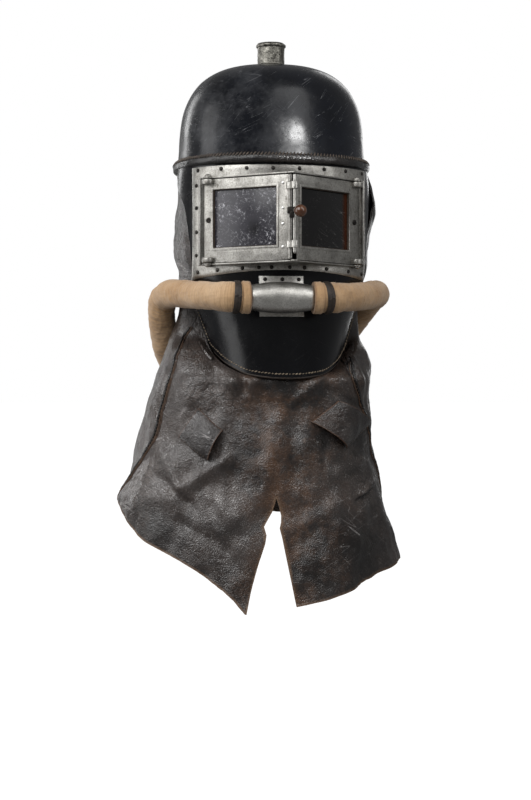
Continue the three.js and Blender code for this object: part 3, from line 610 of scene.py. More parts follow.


# cloud sets how strongly the pale sheen is painted over the left side of each shell
enamelCrown = enamelFinish("blackEnamelCrown", {
    "dark": (0.0030, 0.0036, 0.0058), "haze": (0.0075, 0.0095, 0.0150), "wearAndSheen": (0.26, 0.265, 0.28),
    "cloud": 0.22, "scratch": 0.62, "scuff": 0.40, "gloss": 0.20, "dull": 0.36, "coat": 0.06,
    "specular": 0.34,
})
enamelMask = enamelFinish("blackEnamelMask", {
    "dark": (0.0026, 0.0028, 0.0042), "haze": (0.0055, 0.0062, 0.0090), "wearAndSheen": (0.13, 0.125, 0.12),
    "cloud": 0.10, "scratch": 0.12, "scuff": 0.30, "gloss": 0.18, "dull": 0.30, "coat": 0.0, "specular": 0.30,
})
softLook = {
    "dark": (0.0095, 0.0082, 0.0080), "grey": (0.038, 0.031, 0.028), "brown": (0.115, 0.056, 0.027),
    "pale": (0.24, 0.225, 0.22), "deep": (0.0045, 0.0036, 0.0033), "edge": (0.12, 0.068, 0.036), "rub": 0.7,
    "grainSheen": 0.24, "sparkle": 0.65, "bright": (0.40, 0.38, 0.37), "wornAndSheen": (0.088, 0.075, 0.069), "marks": 0.7,
    "grain": 620, "creases": 105, "gloss": 0.24, "dull": 0.42, "pebble": 0.9,
    # patches painted lighter as painted sheen, where the leather is also glossier; then patches of painted
    # shade
    "glossySheenAt": [(-0.138, -0.515, 0.060), (-0.085, -0.535, 0.050), (-0.082, -0.385, 0.042),
                (-0.108, -0.440, 0.045), (0.055, -0.500, 0.052), (0.092, -0.520, 0.034),
                (0.010, -0.445, 0.030), (0.060, -0.400, 0.028), (-0.060, -0.585, 0.050)],
    "shadedAt": [(0.085, -0.590, 0.060), (0.030, -0.610, 0.040), (0.020, -0.470, 0.028),
                 (-0.155, -0.560, 0.030), (0.100, -0.455, 0.026), (0.000, -0.395, 0.026),
                 (-0.118, -0.140, 0.060), (-0.112, -0.190, 0.032), (0.125, -0.150, 0.060),
                 (-0.160, -0.600, 0.040)],
}
leatherSoft = leatherFinish("softLeather", softLook)
leatherWelt = leatherFinish("weltLeather", {
    "dark": (0.0032, 0.0030, 0.0033), "grey": (0.0085, 0.0078, 0.0080), "brown": (0.040, 0.022, 0.013),
    "pale": (0.16, 0.15, 0.14), "deep": (0.003, 0.0025, 0.0025), "edge": (0.05, 0.03, 0.02), "rub": 0.3,
    "grainSheen": 0.18, "sparkle": 0.5, "bright": (0.26, 0.25, 0.24), "wornAndSheen": (0.03, 0.028, 0.027), "marks": 0.3,
    "grain": 700, "creases": 200, "gloss": 0.17, "dull": 0.32, "pebble": 0.4,
    # patches of painted sheen on the welt
    "glossySheenAt": [(0.03, -0.12, 0.06), (-0.08, -0.12, 0.03)], "shadedAt": [(0.0, -0.5, 0.01)],
})
nickel = metalFinish("wornNickel", {
    "bright": (0.49, 0.48, 0.45), "dull": (0.27, 0.262, 0.245), "dark": (0.085, 0.074, 0.060), "patch": 42,
    "spot": 230, "dirt": 0.6, "grain": 0.6, "low": 0.32, "high": 0.50, "dent": 60, "depth": 0.0010,
})
nickelSmooth = metalFinish("brightNickel", {
    "bright": (0.70, 0.685, 0.65), "dull": (0.48, 0.47, 0.44), "dark": (0.12, 0.11, 0.09), "patch": 50,
    "spot": 240, "dirt": 0.5, "grain": 0.45, "low": 0.30, "high": 0.46, "dent": 60, "depth": 0.0008,
})
rivetBright = metalFinish("rivetBright", {
    "bright": (0.93, 0.92, 0.90), "dull": (0.75, 0.74, 0.72), "dark": (0.30, 0.28, 0.25), "patch": 90,
    "spot": 300, "dirt": 0.2, "grain": 0.1, "low": 0.30, "high": 0.42, "dent": 60, "depth": 0.0003,
})
tin = metalFinish("dentedTin", {
    "bright": (0.36, 0.35, 0.31), "dull": (0.10, 0.095, 0.083), "dark": (0.016, 0.014, 0.012), "patch": 190,
    "spot": 260, "dirt": 0.95, "grain": 0.7, "low": 0.34, "high": 0.55, "dent": 170, "depth": 0.0022,
})
darkMetal = metalFinish("darkMetal", {
    "bright": (0.060, 0.055, 0.050), "dull": (0.020, 0.018, 0.017), "dark": (0.009, 0.008, 0.008),
    "patch": 90, "spot": 300, "dirt": 0.5, "grain": 0.3, "low": 0.36, "high": 0.55, "dent": 150,
    "depth": 0.0004,
})
hoseCloth = clothFinish("hoseCloth", {
    "tan": (0.56, 0.365, 0.195), "deep": (0.42, 0.25, 0.12), "pale": (0.66, 0.47, 0.29),
    "shadeAndGrime": (0.25, 0.135, 0.062), "ribs": 190, "threads": 200,
})
glassLeft = glassFinish("dustyGlass", {
    "deep": (0.020, 0.019, 0.024), "film": (0.062, 0.060, 0.072), "pale": (0.62, 0.62, 0.66), "dust": 0.95,
    "filmAndSheenFrom": -0.09, "filmAndSheenTo": -0.02, "brownReflectionFrom": 1.0, "brownReflectionTo": 2.0, "brownReflection": 0.0,
    "smudge": (-0.0375, -0.120, -0.2085), "smudged": 0.95, "gloss": 0.14, "dull": 0.30,
})
glassRight = glassFinish("darkGlass", {
    "deep": (0.0035, 0.0032, 0.0035), "film": (0.0048, 0.0044, 0.0046), "pale": (0.20, 0.19, 0.18),
    "dust": 0.12, "filmAndSheenFrom": 0.0, "filmAndSheenTo": 0.08, "brownReflectionFrom": 0.070, "brownReflectionTo": 0.0765, "brownReflection": 0.9,
    "smudge": (0, 0, 0), "smudged": 0.0, "gloss": 0.12, "dull": 0.24,
})
threadLooks = {  # light, dark, roughness, noise scale
    "brownThread": ((0.105, 0.080, 0.062), (0.022, 0.016, 0.012), 0.5, 420),
    "edgeThread": ((0.105, 0.055, 0.028), (0.040, 0.022, 0.013), 0.6, 300),
    "beigeThread": ((0.25, 0.195, 0.135), (0.060, 0.044, 0.029), 0.65, 300),
    # the window's seat: putty and grime, and painted shade in the window's recess
    "windowPuttyAndShade": ((0.060, 0.038, 0.024), (0.020, 0.013, 0.009), 0.6, 300),
    "waxedCord": ((0.040, 0.026, 0.018), (0.013, 0.010, 0.008), 0.5, 400),
}
horn = plainFinish("amberHorn", (0.105, 0.036, 0.011), (0.030, 0.010, 0.005), 0.08, 90, 0.00005,
                   Coat_Weight=0.4)
threadFinishes = [plainFinish(name, *look) for name, look in threadLooks.items()]
brownThread, edgeThread, beigeThread, putty, darkCord = threadFinishes
print("materials made")


# Repeated small pieces

# Puts one rounded head or thread on each point, turned by its out and along attributes
def repeatTree():
    tree = bpy.data.node_groups.new("repeatRounded", "GeometryNodeTree")
    for name, kind in threadSockets.items():
        tree.interface.new_socket(name, in_out="INPUT", socket_type="NodeSocket" + kind)
    tree.interface.new_socket("Geometry", in_out="OUTPUT", socket_type="NodeSocketGeometry")
    add = lambda kind, inputs=(), **props: addNode(tree, kind, inputs, **props)
    given = add("NodeGroupInput")
    counts = {name: given[name] for name in ("Segments", "Rings")}
    ball = add("GeometryNodeMeshUVSphere", {"Radius": 1.0, **counts})
    size = add("ShaderNodeCombineXYZ", {"X": given["Length"], "Y": given["Width"], "Z": given["Height"]})
    head = add("GeometryNodeTransform", {"Geometry": ball["Mesh"], "Scale": size[0]})
    turn = {}
    for name, axis, pivot in (("out", "Z", "AUTO"), ("along", "X", "Z")):
        read = add("GeometryNodeInputNamedAttribute", {"Name": name}, data_type="FLOAT_VECTOR")
        aimed = {"Vector": read["Attribute"], **turn}
        aim = add("FunctionNodeAlignRotationToVector", aimed, axis=axis, pivot_axis=pivot)
        turn = {"Rotation": aim["Rotation"]}
    least = add("ShaderNodeMath", {0: 1.0, 1: given["Jitter"]}, operation="SUBTRACT")[0]
    vary = add("FunctionNodeRandomValue", {2: least, 3: 1.0, "Seed": given["Seed"]}, data_type="FLOAT")[1]
    heads = {"Points": given["Geometry"], "Instance": head["Geometry"], "Scale": vary, **turn}
    made = add("GeometryNodeInstanceOnPoints", heads)["Instances"]
    for kind in ("RealizeInstances", "SetShadeSmooth"):
        made = add("GeometryNode" + kind, {"Geometry": made})["Geometry"]
    made = add("GeometryNodeSetMaterial", {"Geometry": made, "Material": given["Material"]})["Geometry"]
    add("NodeGroupOutput", {"Geometry": made})
    return tree


threadSockets = {
    "Geometry": "Geometry", "Length": "Float", "Width": "Float", "Height": "Float", "Jitter": "Float",
    "Seed": "Int", "Segments": "Int", "Rings": "Int", "Material": "Material",
}
roundedTree = repeatTree()


# Sizes are length, width and height in metres, jitter, seed, and the ball's segments and rings
def repeat(name, points, out, along, material, sizes):
    mesh = bpy.data.meshes.new(name + "Places")
    mesh.from_pydata((np.asarray(points) * mm).tolist(), [], [])
    for key, values in (("out", out), ("along", along)):
        made = mesh.attributes.new(key, "FLOAT_VECTOR", "POINT")
        made.data.foreach_set("vector", np.asarray(values, np.float32).ravel())
    piece = addObject(name, mesh)
    modifier = piece.modifiers.new(name, "NODES")
    modifier.node_group = roundedTree
    values = dict(zip(list(threadSockets)[1:], (*sizes, 10, 6)[:7]), Material=material)
    for item in roundedTree.interface.items_tree:
        if item.item_type == "SOCKET" and item.in_out == "INPUT" and item.name in values:
            modifier[item.identifier] = values[item.name]
    return bake(piece)


# Turns what a piece's modifiers make into its own mesh
def bake(piece):
    bpy.context.view_layer.update()
    made = bpy.data.meshes.new_from_object(piece.evaluated_get(bpy.context.evaluated_depsgraph_get()))
    piece.modifiers.clear()
    piece.data = made
    made.name = piece.name
    return piece


# Cuts a closed shape out of a piece
def carve(piece, shape, sharp=38):
    cutter = shape.finish("cutter", piece.data.materials[0])
    cut = piece.modifiers.new("cut", "BOOLEAN")
    cut.operation = "DIFFERENCE"
    cut.object = cutter
    bake(piece)
    bpy.data.objects.remove(cutter)
    piece.data.shade_smooth()
    piece.data.set_sharp_from_angle(angle=math.radians(sharp))


# Threads laid along a line of points; slant turns each one across the line, in degrees
def stitches(name, line, out, pitch, material, sizes, slant=0.0):
    points = evenly(line, pitch)
    reach = reachAlong(line)
    at = np.linspace(0, reach[-1], len(points))
    normals = unit(np.stack([np.interp(at, reach, out[:, k]) for k in range(3)], -1))
    along = unit(np.gradient(points, axis=0))
    a = math.radians(slant)
    along = along * math.cos(a) + np.cross(normals, along) * math.sin(a)
    ride(repeat(name, points, normals, along, material, sizes), "shell", "welt_thread")


# Crown, tube and welt

crown = {
    "halfWidth": 114.5, "front": 110, "back": 120, "height": 118, "wall": 4, "bottom": -118.5, "hole": 17.7,
    "around": 168, "rows": 84, "dents": 0.7, "flare": 1.6,
}


def crownSection(angle, inset, z, scale=1.0):
    grow = crown["flare"] * smoothstep(-z, 96, 121) - inset
    half = (crown["halfWidth"] + grow) * scale
    return onSection(angle, half, half, (crown["front"] + grow) * scale, (crown["back"] + grow) * scale, 0.0,
                     z)


def crownGrid(inset):
    springing = crown["wall"] - crown["height"]
    hole = math.asin((crown["hole"] / (crown["front"] - crown["wall"])) ** 1.5)
    angle = fullTurn(crown["around"])[None, :]
    rise = np.linspace(hole, math.pi / 2, crown["rows"])[:, None]
    z = springing + (crown["height"] - inset) * np.maximum(np.cos(rise), 0) ** (2 / 3)
    scale = np.sin(rise) ** (2 / 3)
    dome = crownSection(angle, inset, z, scale)
    skirt = crownSection(angle, inset, np.full((1, 1), crown["bottom"]))
    return np.concatenate([dome, skirt])


def makeCrown():
    outer, inner = crownGrid(0), crownGrid(crown["wall"])
    unevenness = noiseField(outer, 55, 1, 2)[..., None] * crown["dents"]
    fade = smoothstep(np.linalg.norm(outer[..., :2], axis=-1), 20, 45)[..., None]
    outer = outer - unit(outer * [1, 1, 0.6]) * (np.abs(unevenness) * fade)
    shell = Maker().grid(outer, inner, True)
    ride(shell.finish("crownShell", enamelCrown), "shell", "japanned_leather", "crown")


welt = {"top": -117.2, "bottom": -128.4, "reach": 6.0, "pitch": 4.3, "sides": 16, "around": 260,
        "groove": 0.4, "thread": (0.0037, 0.0012, 0.0012, 0.25, 4)}


def weltPoint(angle, grow, z):
    return crownSection(angle, -grow, z)


def makeWelt():
    angle = fullTurn(welt["around"])[None, :]
    turn = fullTurn(welt["sides"])[:, None]
    middle = (welt["top"] + welt["bottom"]) / 2
    high = (welt["top"] - welt["bottom"]) / 2
    lift = noiseField(weltPoint(angle, 0, np.full_like(angle, middle)), 16, 3, 3)[0][None, :] * 0.8
    groove = welt["groove"] * np.exp(-((turn - 0.15) / 0.25) ** 2)
    grow = 2.0 + (welt["reach"] - 2.0 + lift - groove) * np.cos(turn)
    z = middle + high * np.sin(turn) + 0.5 * lift
    rings = np.transpose(weltPoint(angle + 0 * turn, grow, z), (1, 0, 2))
    roll = Maker().loops(rings)
    ride(roll.finish("weltRoll", leatherWelt, 80), "shell", "welt_thread", "seam_welt")
    ring = np.linspace(0, 2 * math.pi, 500)
    out = unit(weltPoint(ring, 30, 0) - weltPoint(ring, 0, 0)) + [0, 0, 0.75]
    line = weltPoint(ring, welt["reach"] - 1.6, np.full_like(ring, welt["top"] - 0.6))
    stitches("weltStitches", line, out, welt["pitch"], brownThread, welt["thread"], 62)


tube = {"bore": 15.4, "radius": 16.9, "rim": 18.7, "base": 20.8, "bottom": -5, "top": 34, "dents": 0.35,
        # azimuth, height, radius
        "holes": ((-87, 18.5, 1.9), (-62, 25.2, 1.0), (-62, 18.8, 1.1), (95, 20, 1.7))}


def makeTube():
    sizes = [tube[key] for key in ("bore", "radius", "rim", "base", "bottom", "top")]
    bore, radius, lip, base, bottom, top = sizes
    outside = [(base, 4.6), (base, 5.6), (base - 1, 6.2), (radius + 0.8, 6.6), (radius, 8)]
    wall = [(radius, z) for z in np.linspace(9, 28.4, 20)]
    rim = [(radius + 0.3, 29), (lip - 0.3, 29.4), (lip, 30.3), (lip, 31.6), (lip - 0.5, 32.4),
           (radius + 0.3, 32.9), (radius - 0.3, top), (bore + 0.2, top), (bore, top - 0.5)]
    inside = [(bore, z) for z in np.linspace(30, bottom + 0.5, 14)]
    foot = [(bore + 0.3, bottom), (radius - 0.3, bottom), (radius, bottom + 0.5), (radius, 4.6)]
    maker = Maker().upright(outside + wall + rim + inside + foot, 0, 0, 96, True)
    verts = np.array(maker.verts)
    depth = noiseField(verts, 5, 8, 2) * tube["dents"]
    fade = smoothstep(verts[:, 2], 7, 10)[:, None]
    verts -= unit(verts * [1, 1, 0]) * np.clip(depth + 0.1, -0.1, 0.6)[:, None] * fade
    maker.verts = verts.tolist()
    piece = maker.finish("outletTube", tin, 50)
    drill = Maker()
    for azimuth, z, wide in tube["holes"]:
        a = math.radians(azimuth)
        bit = [(0, 12), (wide, 12), (wide, 22), (0, 22)]
        drill.revolve(bit, (0, 0, z), (math.cos(a), math.sin(a), 0), 20)
    carve(piece, drill, 50)
    ride(piece, "shell", "tinned_tube", "exhaust_tube")


makeCrown()
makeWelt()
makeTube()
print("crown, welt and tube made")


# Mask

mask = {
    "top": -126.6, "bottom": -386, "wall": 3.5, "across": 150, "rows": 110,
    "halfWidth": [[-126, 119.5], [-150, 122], [-200, 123.5], [-245, 121], [-290, 107], [-315, 98], [-346, 90],
                  [-386, 84]],
    "ahead": [[-126, 110], [-245, 110], [-290, 116], [-315, 119], [-346, 122], [-386, 125]],
    "rearEdge": [[-126, 20], [-150, 24], [-165, 38], [-180, 48], [-210, 55], [-245, 58], [-280, 50],
                 [-300, 40], [-315, 38], [-331, 43], [-346, 53], [-364, 74], [-386, 96]],
    "chin": [[0, -384], [20, -383.2], [46, -379], [58, -373], [70, -364], [78, -354.5], [84, -346],
             [90, -331], [97, -308], [104, -295]],
    "hole": (97, -144.8, -249),
}
maskReaders = [reader(mask[key]) for key in ("halfWidth", "ahead", "rearEdge", "chin")]
maskHalf, maskAhead, maskRear, chinHeight = maskReaders


def onMask(angle, z, lift=0.0):
    side = maskHalf(z) + lift
    return onSection(angle, side, side, maskAhead(z) + lift, 0.0, 0.0, z)


def onMaskAt(x, z, lift=0.0):
    angle = np.arcsin(np.minimum(np.abs(x) / (maskHalf(z) + lift), 1) ** 1.1)
    return onMask(np.sign(x) * angle, z, lift)


def maskEdge(z):
    return np.arccos((maskRear(z) / maskAhead(z)) ** 1.1)


# Height of the mask's lower edge in each column, found by halving
def chinLine(across, inset=0.0):
    low = np.full_like(across, mask["bottom"])
    high = np.full_like(across, -296.0)
    for _ in range(40):
        z = (low + high) / 2
        x = np.abs(onMask((2 * across - 1) * maskEdge(z), z)[..., 0])
        inside = z > chinHeight(x) + inset
        high = np.where(inside, z, high)
        low = np.where(inside, low, z)
    return (low + high) / 2


def makeMask():
    across, down = shares(mask["across"], mask["rows"])
    z = mask["top"] + (chinLine(across) - mask["top"]) * down
    angle = (2 * across - 1) * maskEdge(z)
    outer, inner = onMask(angle, z), onMask(angle, z, -mask["wall"])
    swell = noiseField(outer, 60, 5, 2)[..., None] * 0.5
    piece = Maker().grid(outer - gridNormals(outer) * np.abs(swell), inner).finish("maskShell", enamelMask)
    halfWidth, top, bottom = mask["hole"]
    carve(piece, Maker().block((-halfWidth, -220, bottom), (halfWidth, -40, top), 2.0))
    ride(piece, "shell", "japanned_leather", "face_mask")


chin = {"pitch": 4.1, "inset": 3.6, "lip": 1.7, "thread": (0.0021, 0.00095, 0.0009, 0.35, 2)}


def makeChinEdge():
    across = np.linspace(0.0, 1.0, 260)
    z = chinLine(across, chin["inset"])
    angle = (2 * across - 1) * (maskEdge(z) - 0.02)
    line = onMask(angle, z, 0.35)
    out = onMask(angle, z, 10) - onMask(angle, z)
    stitches("chinStitches", line, out, chin["pitch"], beigeThread, chin["thread"], 18)
    zEdge = chinLine(across)
    angle = (2 * across - 1) * maskEdge(zEdge)
    lip = Maker().tube(onMask(angle, zEdge, -2.0) - [0, 0, 0.9], chin["lip"], 12)
    ride(lip.finish("chinLip", darkCord, 80), "shell", "welt_thread")


makeMask()
makeChinEdge()
print("mask made")


# Hood and cape

hood = {
    "top": -126.6, "thick": 2.2, "across": 250, "rows": 150,
    "left": [[-127, 117], [-160, 115], [-185, 118], [-212, 120], [-235, 119], [-255, 114], [-280, 114],
             [-300, 116], [-311, 119], [-329, 126], [-342, 131], [-363, 138], [-386, 145.5], [-411, 153],
             [-448, 164], [-486, 175], [-516, 184], [-532, 191], [-680, 200]],
    "right": [[-127, 120], [-147, 126], [-167, 128], [-191, 126.5], [-211, 121], [-240, 116], [-262, 113],
              [-300, 108], [-320, 107.5], [-343, 111], [-366, 117], [-396, 121], [-426, 122.5], [-461, 121.5],
              [-478, 124], [-508, 130], [-531, 136], [-553, 144], [-576, 151], [-607, 161], [-680, 170]],
    "ahead": [[-127, 110], [-245, 110], [-280, 78], [-300, 50], [-315, 44], [-331, 45], [-346, 54],
              [-364, 75], [-379, 104], [-386, 115], [-400, 114], [-430, 112], [-480, 116], [-530, 121],
              [-600, 130], [-680, 136]],
    "widest": [[-127, 0], [-200, 0], [-250, 5], [-300, 10], [-340, 18], [-400, 18], [-450, 10], [-530, 0],
               [-680, 0]],
    "backPower": [[-127, 2.2], [-200, 2.2], [-280, 1.95], [-330, 1.8], [-400, 1.85], [-500, 2], [-680, 2]],
    "behind": [[-127, 120], [-160, 124], [-212, 122], [-280, 112], [-340, 102], [-370, 100], [-400, 104],
               [-450, 112], [-500, 120], [-560, 128], [-680, 136]],
}
hoodRead = {key: reader(rows) for key, rows in hood.items() if isinstance(rows, list)}
leftSeam = reader([
    [-127, 83.5], [-165, 75.5], [-180, 70.5], [-210, 66.5], [-245, 64.5], [-280, 62], [-290, 57], [-300, 52],
    [-315, 54], [-337, 60], [-360, 65], [-430, 64], [-469, 67], [-505, 82], [-532, 92], [-680, 92]])
rightSeam = reader([
    [-127, 83.5], [-165, 75.5], [-180, 70.5], [-210, 67], [-245, 66], [-280, 64], [-290, 58], [-300, 53],
    [-315, 52], [-331, 50], [-346, 46], [-363, 44], [-395, 46], [-438, 60], [-500, 78], [-600, 92],
    [-680, 92]])
neckEdge = reader([
    [0, -304], [0.09, -319], [0.165, -334], [0.24, -349], [0.34, -367], [0.436, -381], [0.59, -386],
    [0.778, -381], [0.917, -366], [1, -355]])
frontHem = reader([
    [0, -532], [0.05, -538], [0.11, -556], [0.19, -577], [0.27, -597], [0.32, -611], [0.37, -631],
    [0.4, -645], [0.435, -666], [0.515, -655], [0.57, -648], [0.625, -640], [0.7, -627], [0.8, -616],
    [0.87, -611], [0.94, -607], [1, -602]])
backHem = reader([[0, -532], [0.2, -540], [0.5, -556], [0.8, -566], [0.93, -585], [1, -601]])

# Folds of the leather: from and to as (x, height), half width, rise. A minus rise is a crease.
folds = [
    ((66, -360), (14, -414), 8, 4.2), ((60, -372), (6, -424), 6, -3.4), ((46, -384), (-8, -436), 7, 2.2),
    ((-72, -348), (-60, -396), 8, 5.0), ((-58, -360), (-50, -400), 5, -3.4),
    ((-88, -350), (-84, -402), 6, -3.2), ((-44, -392), (-30, -430), 6, 2.2),
    ((6, -424), (10, -505), 10, -3.2), ((26, -430), (34, -494), 12, 3.0), ((-16, -430), (-22, -512), 11, 2.6),
    ((-128, -520), (-66, -478), 9, 3.8), ((-112, -540), (-152, -500), 6, -3.2),
    ((-92, -520), (-58, -560), 9, 2.4), ((-128, -556), (-86, -580), 7, -2.0),
    ((-146, -470), (-122, -520), 7, 3.0), ((116, -510), (96, -526), 4, 4.2),
    ((113, -521), (90, -536), 4, -3.6), ((58, -560), (112, -592), 9, 2.0),
    ((-92, -566), (-62, -616), 9, -2.0), ((86, -352), (100, -396), 5, 3.4), ((78, -354), (90, -402), 4, -3.0),
    ((18, -560), (74, -528), 10, 2.2), ((40, -476), (92, -506), 10, -2.4), ((58, -500), (104, -486), 8, 2.4),
    ((-108, -420), (-92, -470), 9, -2.2), ((52, -400), (98, -420), 6, -2.0),
]
foldStrength = 1.35
chinPuff = 15
chinPoints = np.array([(x, float(chinHeight(x))) for x in np.linspace(0, 104, 70)])


# How far the leather puffs forward just outside the mask's lower edge
def belowChin(points):
    x, z = np.abs(points[..., 0]), points[..., 2]
    away = np.min(np.hypot(x[..., None] - chinPoints[:, 0], z[..., None] - chinPoints[:, 1]), axis=-1)
    outside = np.where(z < chinHeight(x) - 0.5, away, 0) + np.where(x > 104, away, 0)
    ends = smoothstep(-z, 330, 352) * (1 - smoothstep(-z, 362, 388)) * smoothstep(-points[..., 1], 8, 30)
    return chinPuff * smoothstep(outside, 1.5, 13) * ends


def foldField(points):
    total = np.zeros(points.shape[:-1])
    x, z = points[..., 0], points[..., 2]
    front = smoothstep(-points[..., 1], 0, 30)
    for (x0, z0), (x1, z1), width, rise in folds:
        dx, dz = x1 - x0, z1 - z0
        t = np.clip(((x - x0) * dx + (z - z0) * dz) / (dx * dx + dz * dz), -0.25, 1.25)
        away = np.hypot(x - x0 - dx * t, z - z0 - dz * t)
        ends = smoothstep(t, -0.25, 0.2) * (1 - smoothstep(t, 0.8, 1.25))
        total += foldStrength * rise * np.exp(-(away / width) ** 2) * ends
    return total * front


def hoodBase(degrees, z, inset=0.0):
    angle = np.radians(degrees)
    slack = smoothstep(-z, 390, 620) * 5
    grow = slack * (0.6 * np.sin(5 * angle + 0.6) + 0.4 * np.sin(9 * angle - z / 55)) - inset
    read = {key: hoodRead[key](z) for key in hoodRead}
    return onSection(angle, read["left"] + grow, read["right"] + grow, read["ahead"] + grow,
                     read["behind"] + grow, read["widest"], z, read["backPower"])


def hoodPoint(degrees, z, lift=0.0):
    degrees, z = np.broadcast_arrays(np.asarray(degrees, float), np.asarray(z, float))
    at = hoodBase(degrees, z)
    out = unit((hoodBase(degrees, z, -1.0) - at) * [1, 1, 0], 1e-6)
    free = smoothstep(-z, 128, 175)
    broad = noiseField(at, 70, 11, 2) * 4.2 + noiseField(at * [1, 1, 0.5], 26, 12, 2) * 2.2
    ridges = np.abs(noiseField(at * [1, 1, 0.8], 26, 15, 3))
    crinkle = noiseField(at * [1, 1, 1.6], 9, 13, 2) * 0.3 - 0.5 * np.exp(-(ridges / 0.05) ** 2)
    tuck = smoothstep(-z, 300, 340) * (1 - smoothstep(-z, 372, 394)) * smoothstep(-at[..., 1], 20, 40)
    move = (broad + crinkle) * free * (1 - 0.6 * tuck) + foldField(at) * (1 - 0.3 * tuck)
    at = at + out * (move + lift)[..., None]
    return at - belowChin(at)[..., None] * [0, 1, 0]


def outwardNormals(grid):
    n = gridNormals(grid)
    middle = grid * [1, 1, 0]
    flip = np.sign(np.sum(n * middle, axis=-1, keepdims=True))
    return n * np.where(flip == 0, 1, flip)


cape = {"across": 236, "rows": 150, "gap": 0.25, "crowding": 1.25, "ragged": 1.2, "rimWidth": 1.3}
slit = [(-14, -527), (-11, -536), (-8, -548), (-8.5, -556), (-10.5, -563), (-8, -573), (-2, -602), (4, -632),
        (9, -656), (18, -700), (-60, -700), (-51, -664), (-43, -630), (-35, -602), (-28, -581), (-26.5, -571),
        (-29, -561), (-25, -554), (-19, -544), (-16, -535)]


# Angle of the front panel between its two seams
def capeDegrees(across, z):
    return (-leftSeam(z) + cape["gap"]) * (1 - across) + (rightSeam(z) - cape["gap"]) * across


def raggedHem(across):
    ragged = noiseField(np.stack([across * 500, 0 * across, 0 * across], -1), 30, 21, 2)
    return frontHem(across) + ragged * cape["ragged"]


def leatherPanel(name, degrees, z):
    outer = hoodPoint(degrees, z)
    inner = outer - outwardNormals(outer) * hood["thick"]
    return Maker().grid(outer, inner).finish(name, leatherSoft, 60)


def makeCape():
    across, down = shares(cape["across"], cape["rows"])
    top = neckEdge(across)
    z = top + (raggedHem(across) - top) * down ** cape["crowding"]
    piece = leatherPanel("capeFrontLeather", capeDegrees(across, z), z)
    corners = [(x, y, z) for y in (-250, -20) for x, z in slit]
    carve(piece, Maker().add(corners, prismFaces(len(slit))), 60)
    hem = np.linspace(0, 1, 500)
    hemHeight = raggedHem(hem)
    markRim(piece, [hoodPoint(capeDegrees(hem, hemHeight), hemHeight), slitLine()], cape["rimWidth"])
    return piece


def slitLine():
    sides = [np.array([(x, 0, z) for x, z in side]) for side in (slit[:9], slit[11:] + slit[:1])]
    x, _, z = np.concatenate([evenly(side, 1.0) for side in sides]).T
    degrees = np.degrees(np.arcsin(np.clip(np.abs(x) / hoodRead["left"](z), 0, 1) ** 1.1)) * np.sign(x)
    return hoodPoint(degrees, z)


# Wear within a distance of the lines, on the lower part of a piece
def markRim(piece, lines, width):
    points = np.concatenate(lines) * mm
    tree = kdtree.KDTree(len(points))
    for k, p in enumerate(points):
        tree.insert(p, k)
    tree.balance()
    near = lambda at: max(0.0, 1 - tree.find(at)[2] / (width * 2 * mm)) if at.z < -0.5 else 0.0
    markEdges(piece, np.clip(np.array([near(v.co) for v in piece.data.vertices], np.float32) * 1.6, 0, 1))


def makeHoodBack():
    across, down = shares(hood["across"], hood["rows"])
    z = hood["top"] + (backHem(across) - hood["top"]) * down
    degrees = (-leftSeam(z) - cape["gap"]) * (1 - across) + (rightSeam(z) + cape["gap"] - 360) * across
    piece = leatherPanel("hoodBackLeather", degrees, z)
    markEdges(piece, gridMark(*z.shape, (-1, slice(None), 1)))
    return piece


def halfArea(piece):
    return sum(face.area for face in piece.data.polygons) / 2


capeLeather = ride(makeCape(), "shell", "soft_leather", "cape_front")
hoodLeather = ride(makeHoodBack(), "shell", "soft_leather", "hood_back")
print("leather area", round(halfArea(capeLeather), 4), round(halfArea(hoodLeather), 4))


def seamLine(side, low, high, lift=0.0, shift=0.0):
    z = np.linspace(high, low, 160)
    degrees = -leftSeam(z) - shift if side == "Left" else rightSeam(z) + shift
    at = hoodPoint(degrees, z, lift)
    out = hoodBase(degrees, z, -8.0) - hoodBase(degrees, z)
    return at, out


# Rolls down each seam: degrees towards the back, radius, lift, material.
# The second one fills the seam from behind.
seam = {
    "rolls": ((1.6, 1.7, 0.4, leatherWelt), (0.0, 1.7, -1.2, leatherWelt), (-0.3, 0.8, 0.4, edgeThread),
              (-1.5, 0.5, 0.4, edgeThread)),
    "sides": (("Left", -534, -322, 4), ("Right", -602, -350, 3)),  # foot, top, how many of the rolls
    "pitch": 4.0, "thread": (0.0013, 0.0005, 0.0005, 0.3, 6),
}


def makeSeams():
    for side, low, high, count in seam["sides"]:
        for k, (shift, width, lift, material) in enumerate(seam["rolls"][:count]):
            line = evenly(seamLine(side, low, high, lift, shift)[0], 1.6)
            wobble = 1 + 0.3 * noiseField(line, 6, 30 + k, 2)
            roll = Maker().tube(line, width * wobble, 8)
            ride(roll.finish("seamRoll" + side + str(k), material, 80), "shell", "soft_leather")
        line, out = seamLine(side, low, high, 1.2, 0.6)
        stitches("seamStitches" + side, line, out, seam["pitch"], brownThread, seam["thread"], 12)


makeSeams()

# The keepers' leather, with its own patches of painted sheen and painted shade
keeperLeather = leatherFinish("keeperLeather", {
    **softLook, "grainSheen": 0.12, "brown": (0.060, 0.034, 0.022), "grey": (0.030, 0.026, 0.025),
    "edge": (0.075, 0.038, 0.022), "glossySheenAt": [(0.052, -0.478, 0.030), (0.080, -0.455, 0.014)],
    "shadedAt": [(0.040, -0.462, 0.014)],
})
keeper = {
    "left": ((-39.5, -420.5), (-25, -447), (-47, -456), (-30, -483)),
    "right": ((11, -437), (28, -412), (34.5, -469), (60, -440)),
    "arch": 10.5, "gap": 1.2, "wall": 2.0, "across": 44, "rows": 60, "pitch": 4.2,
    # place of each row of stitches, and their size
    "threads": ((0.045, (0.0013, 0.0005, 0.0005, 0.3, 3)), (0.955, (0.0013, 0.0005, 0.0005, 0.3, 4))),
}


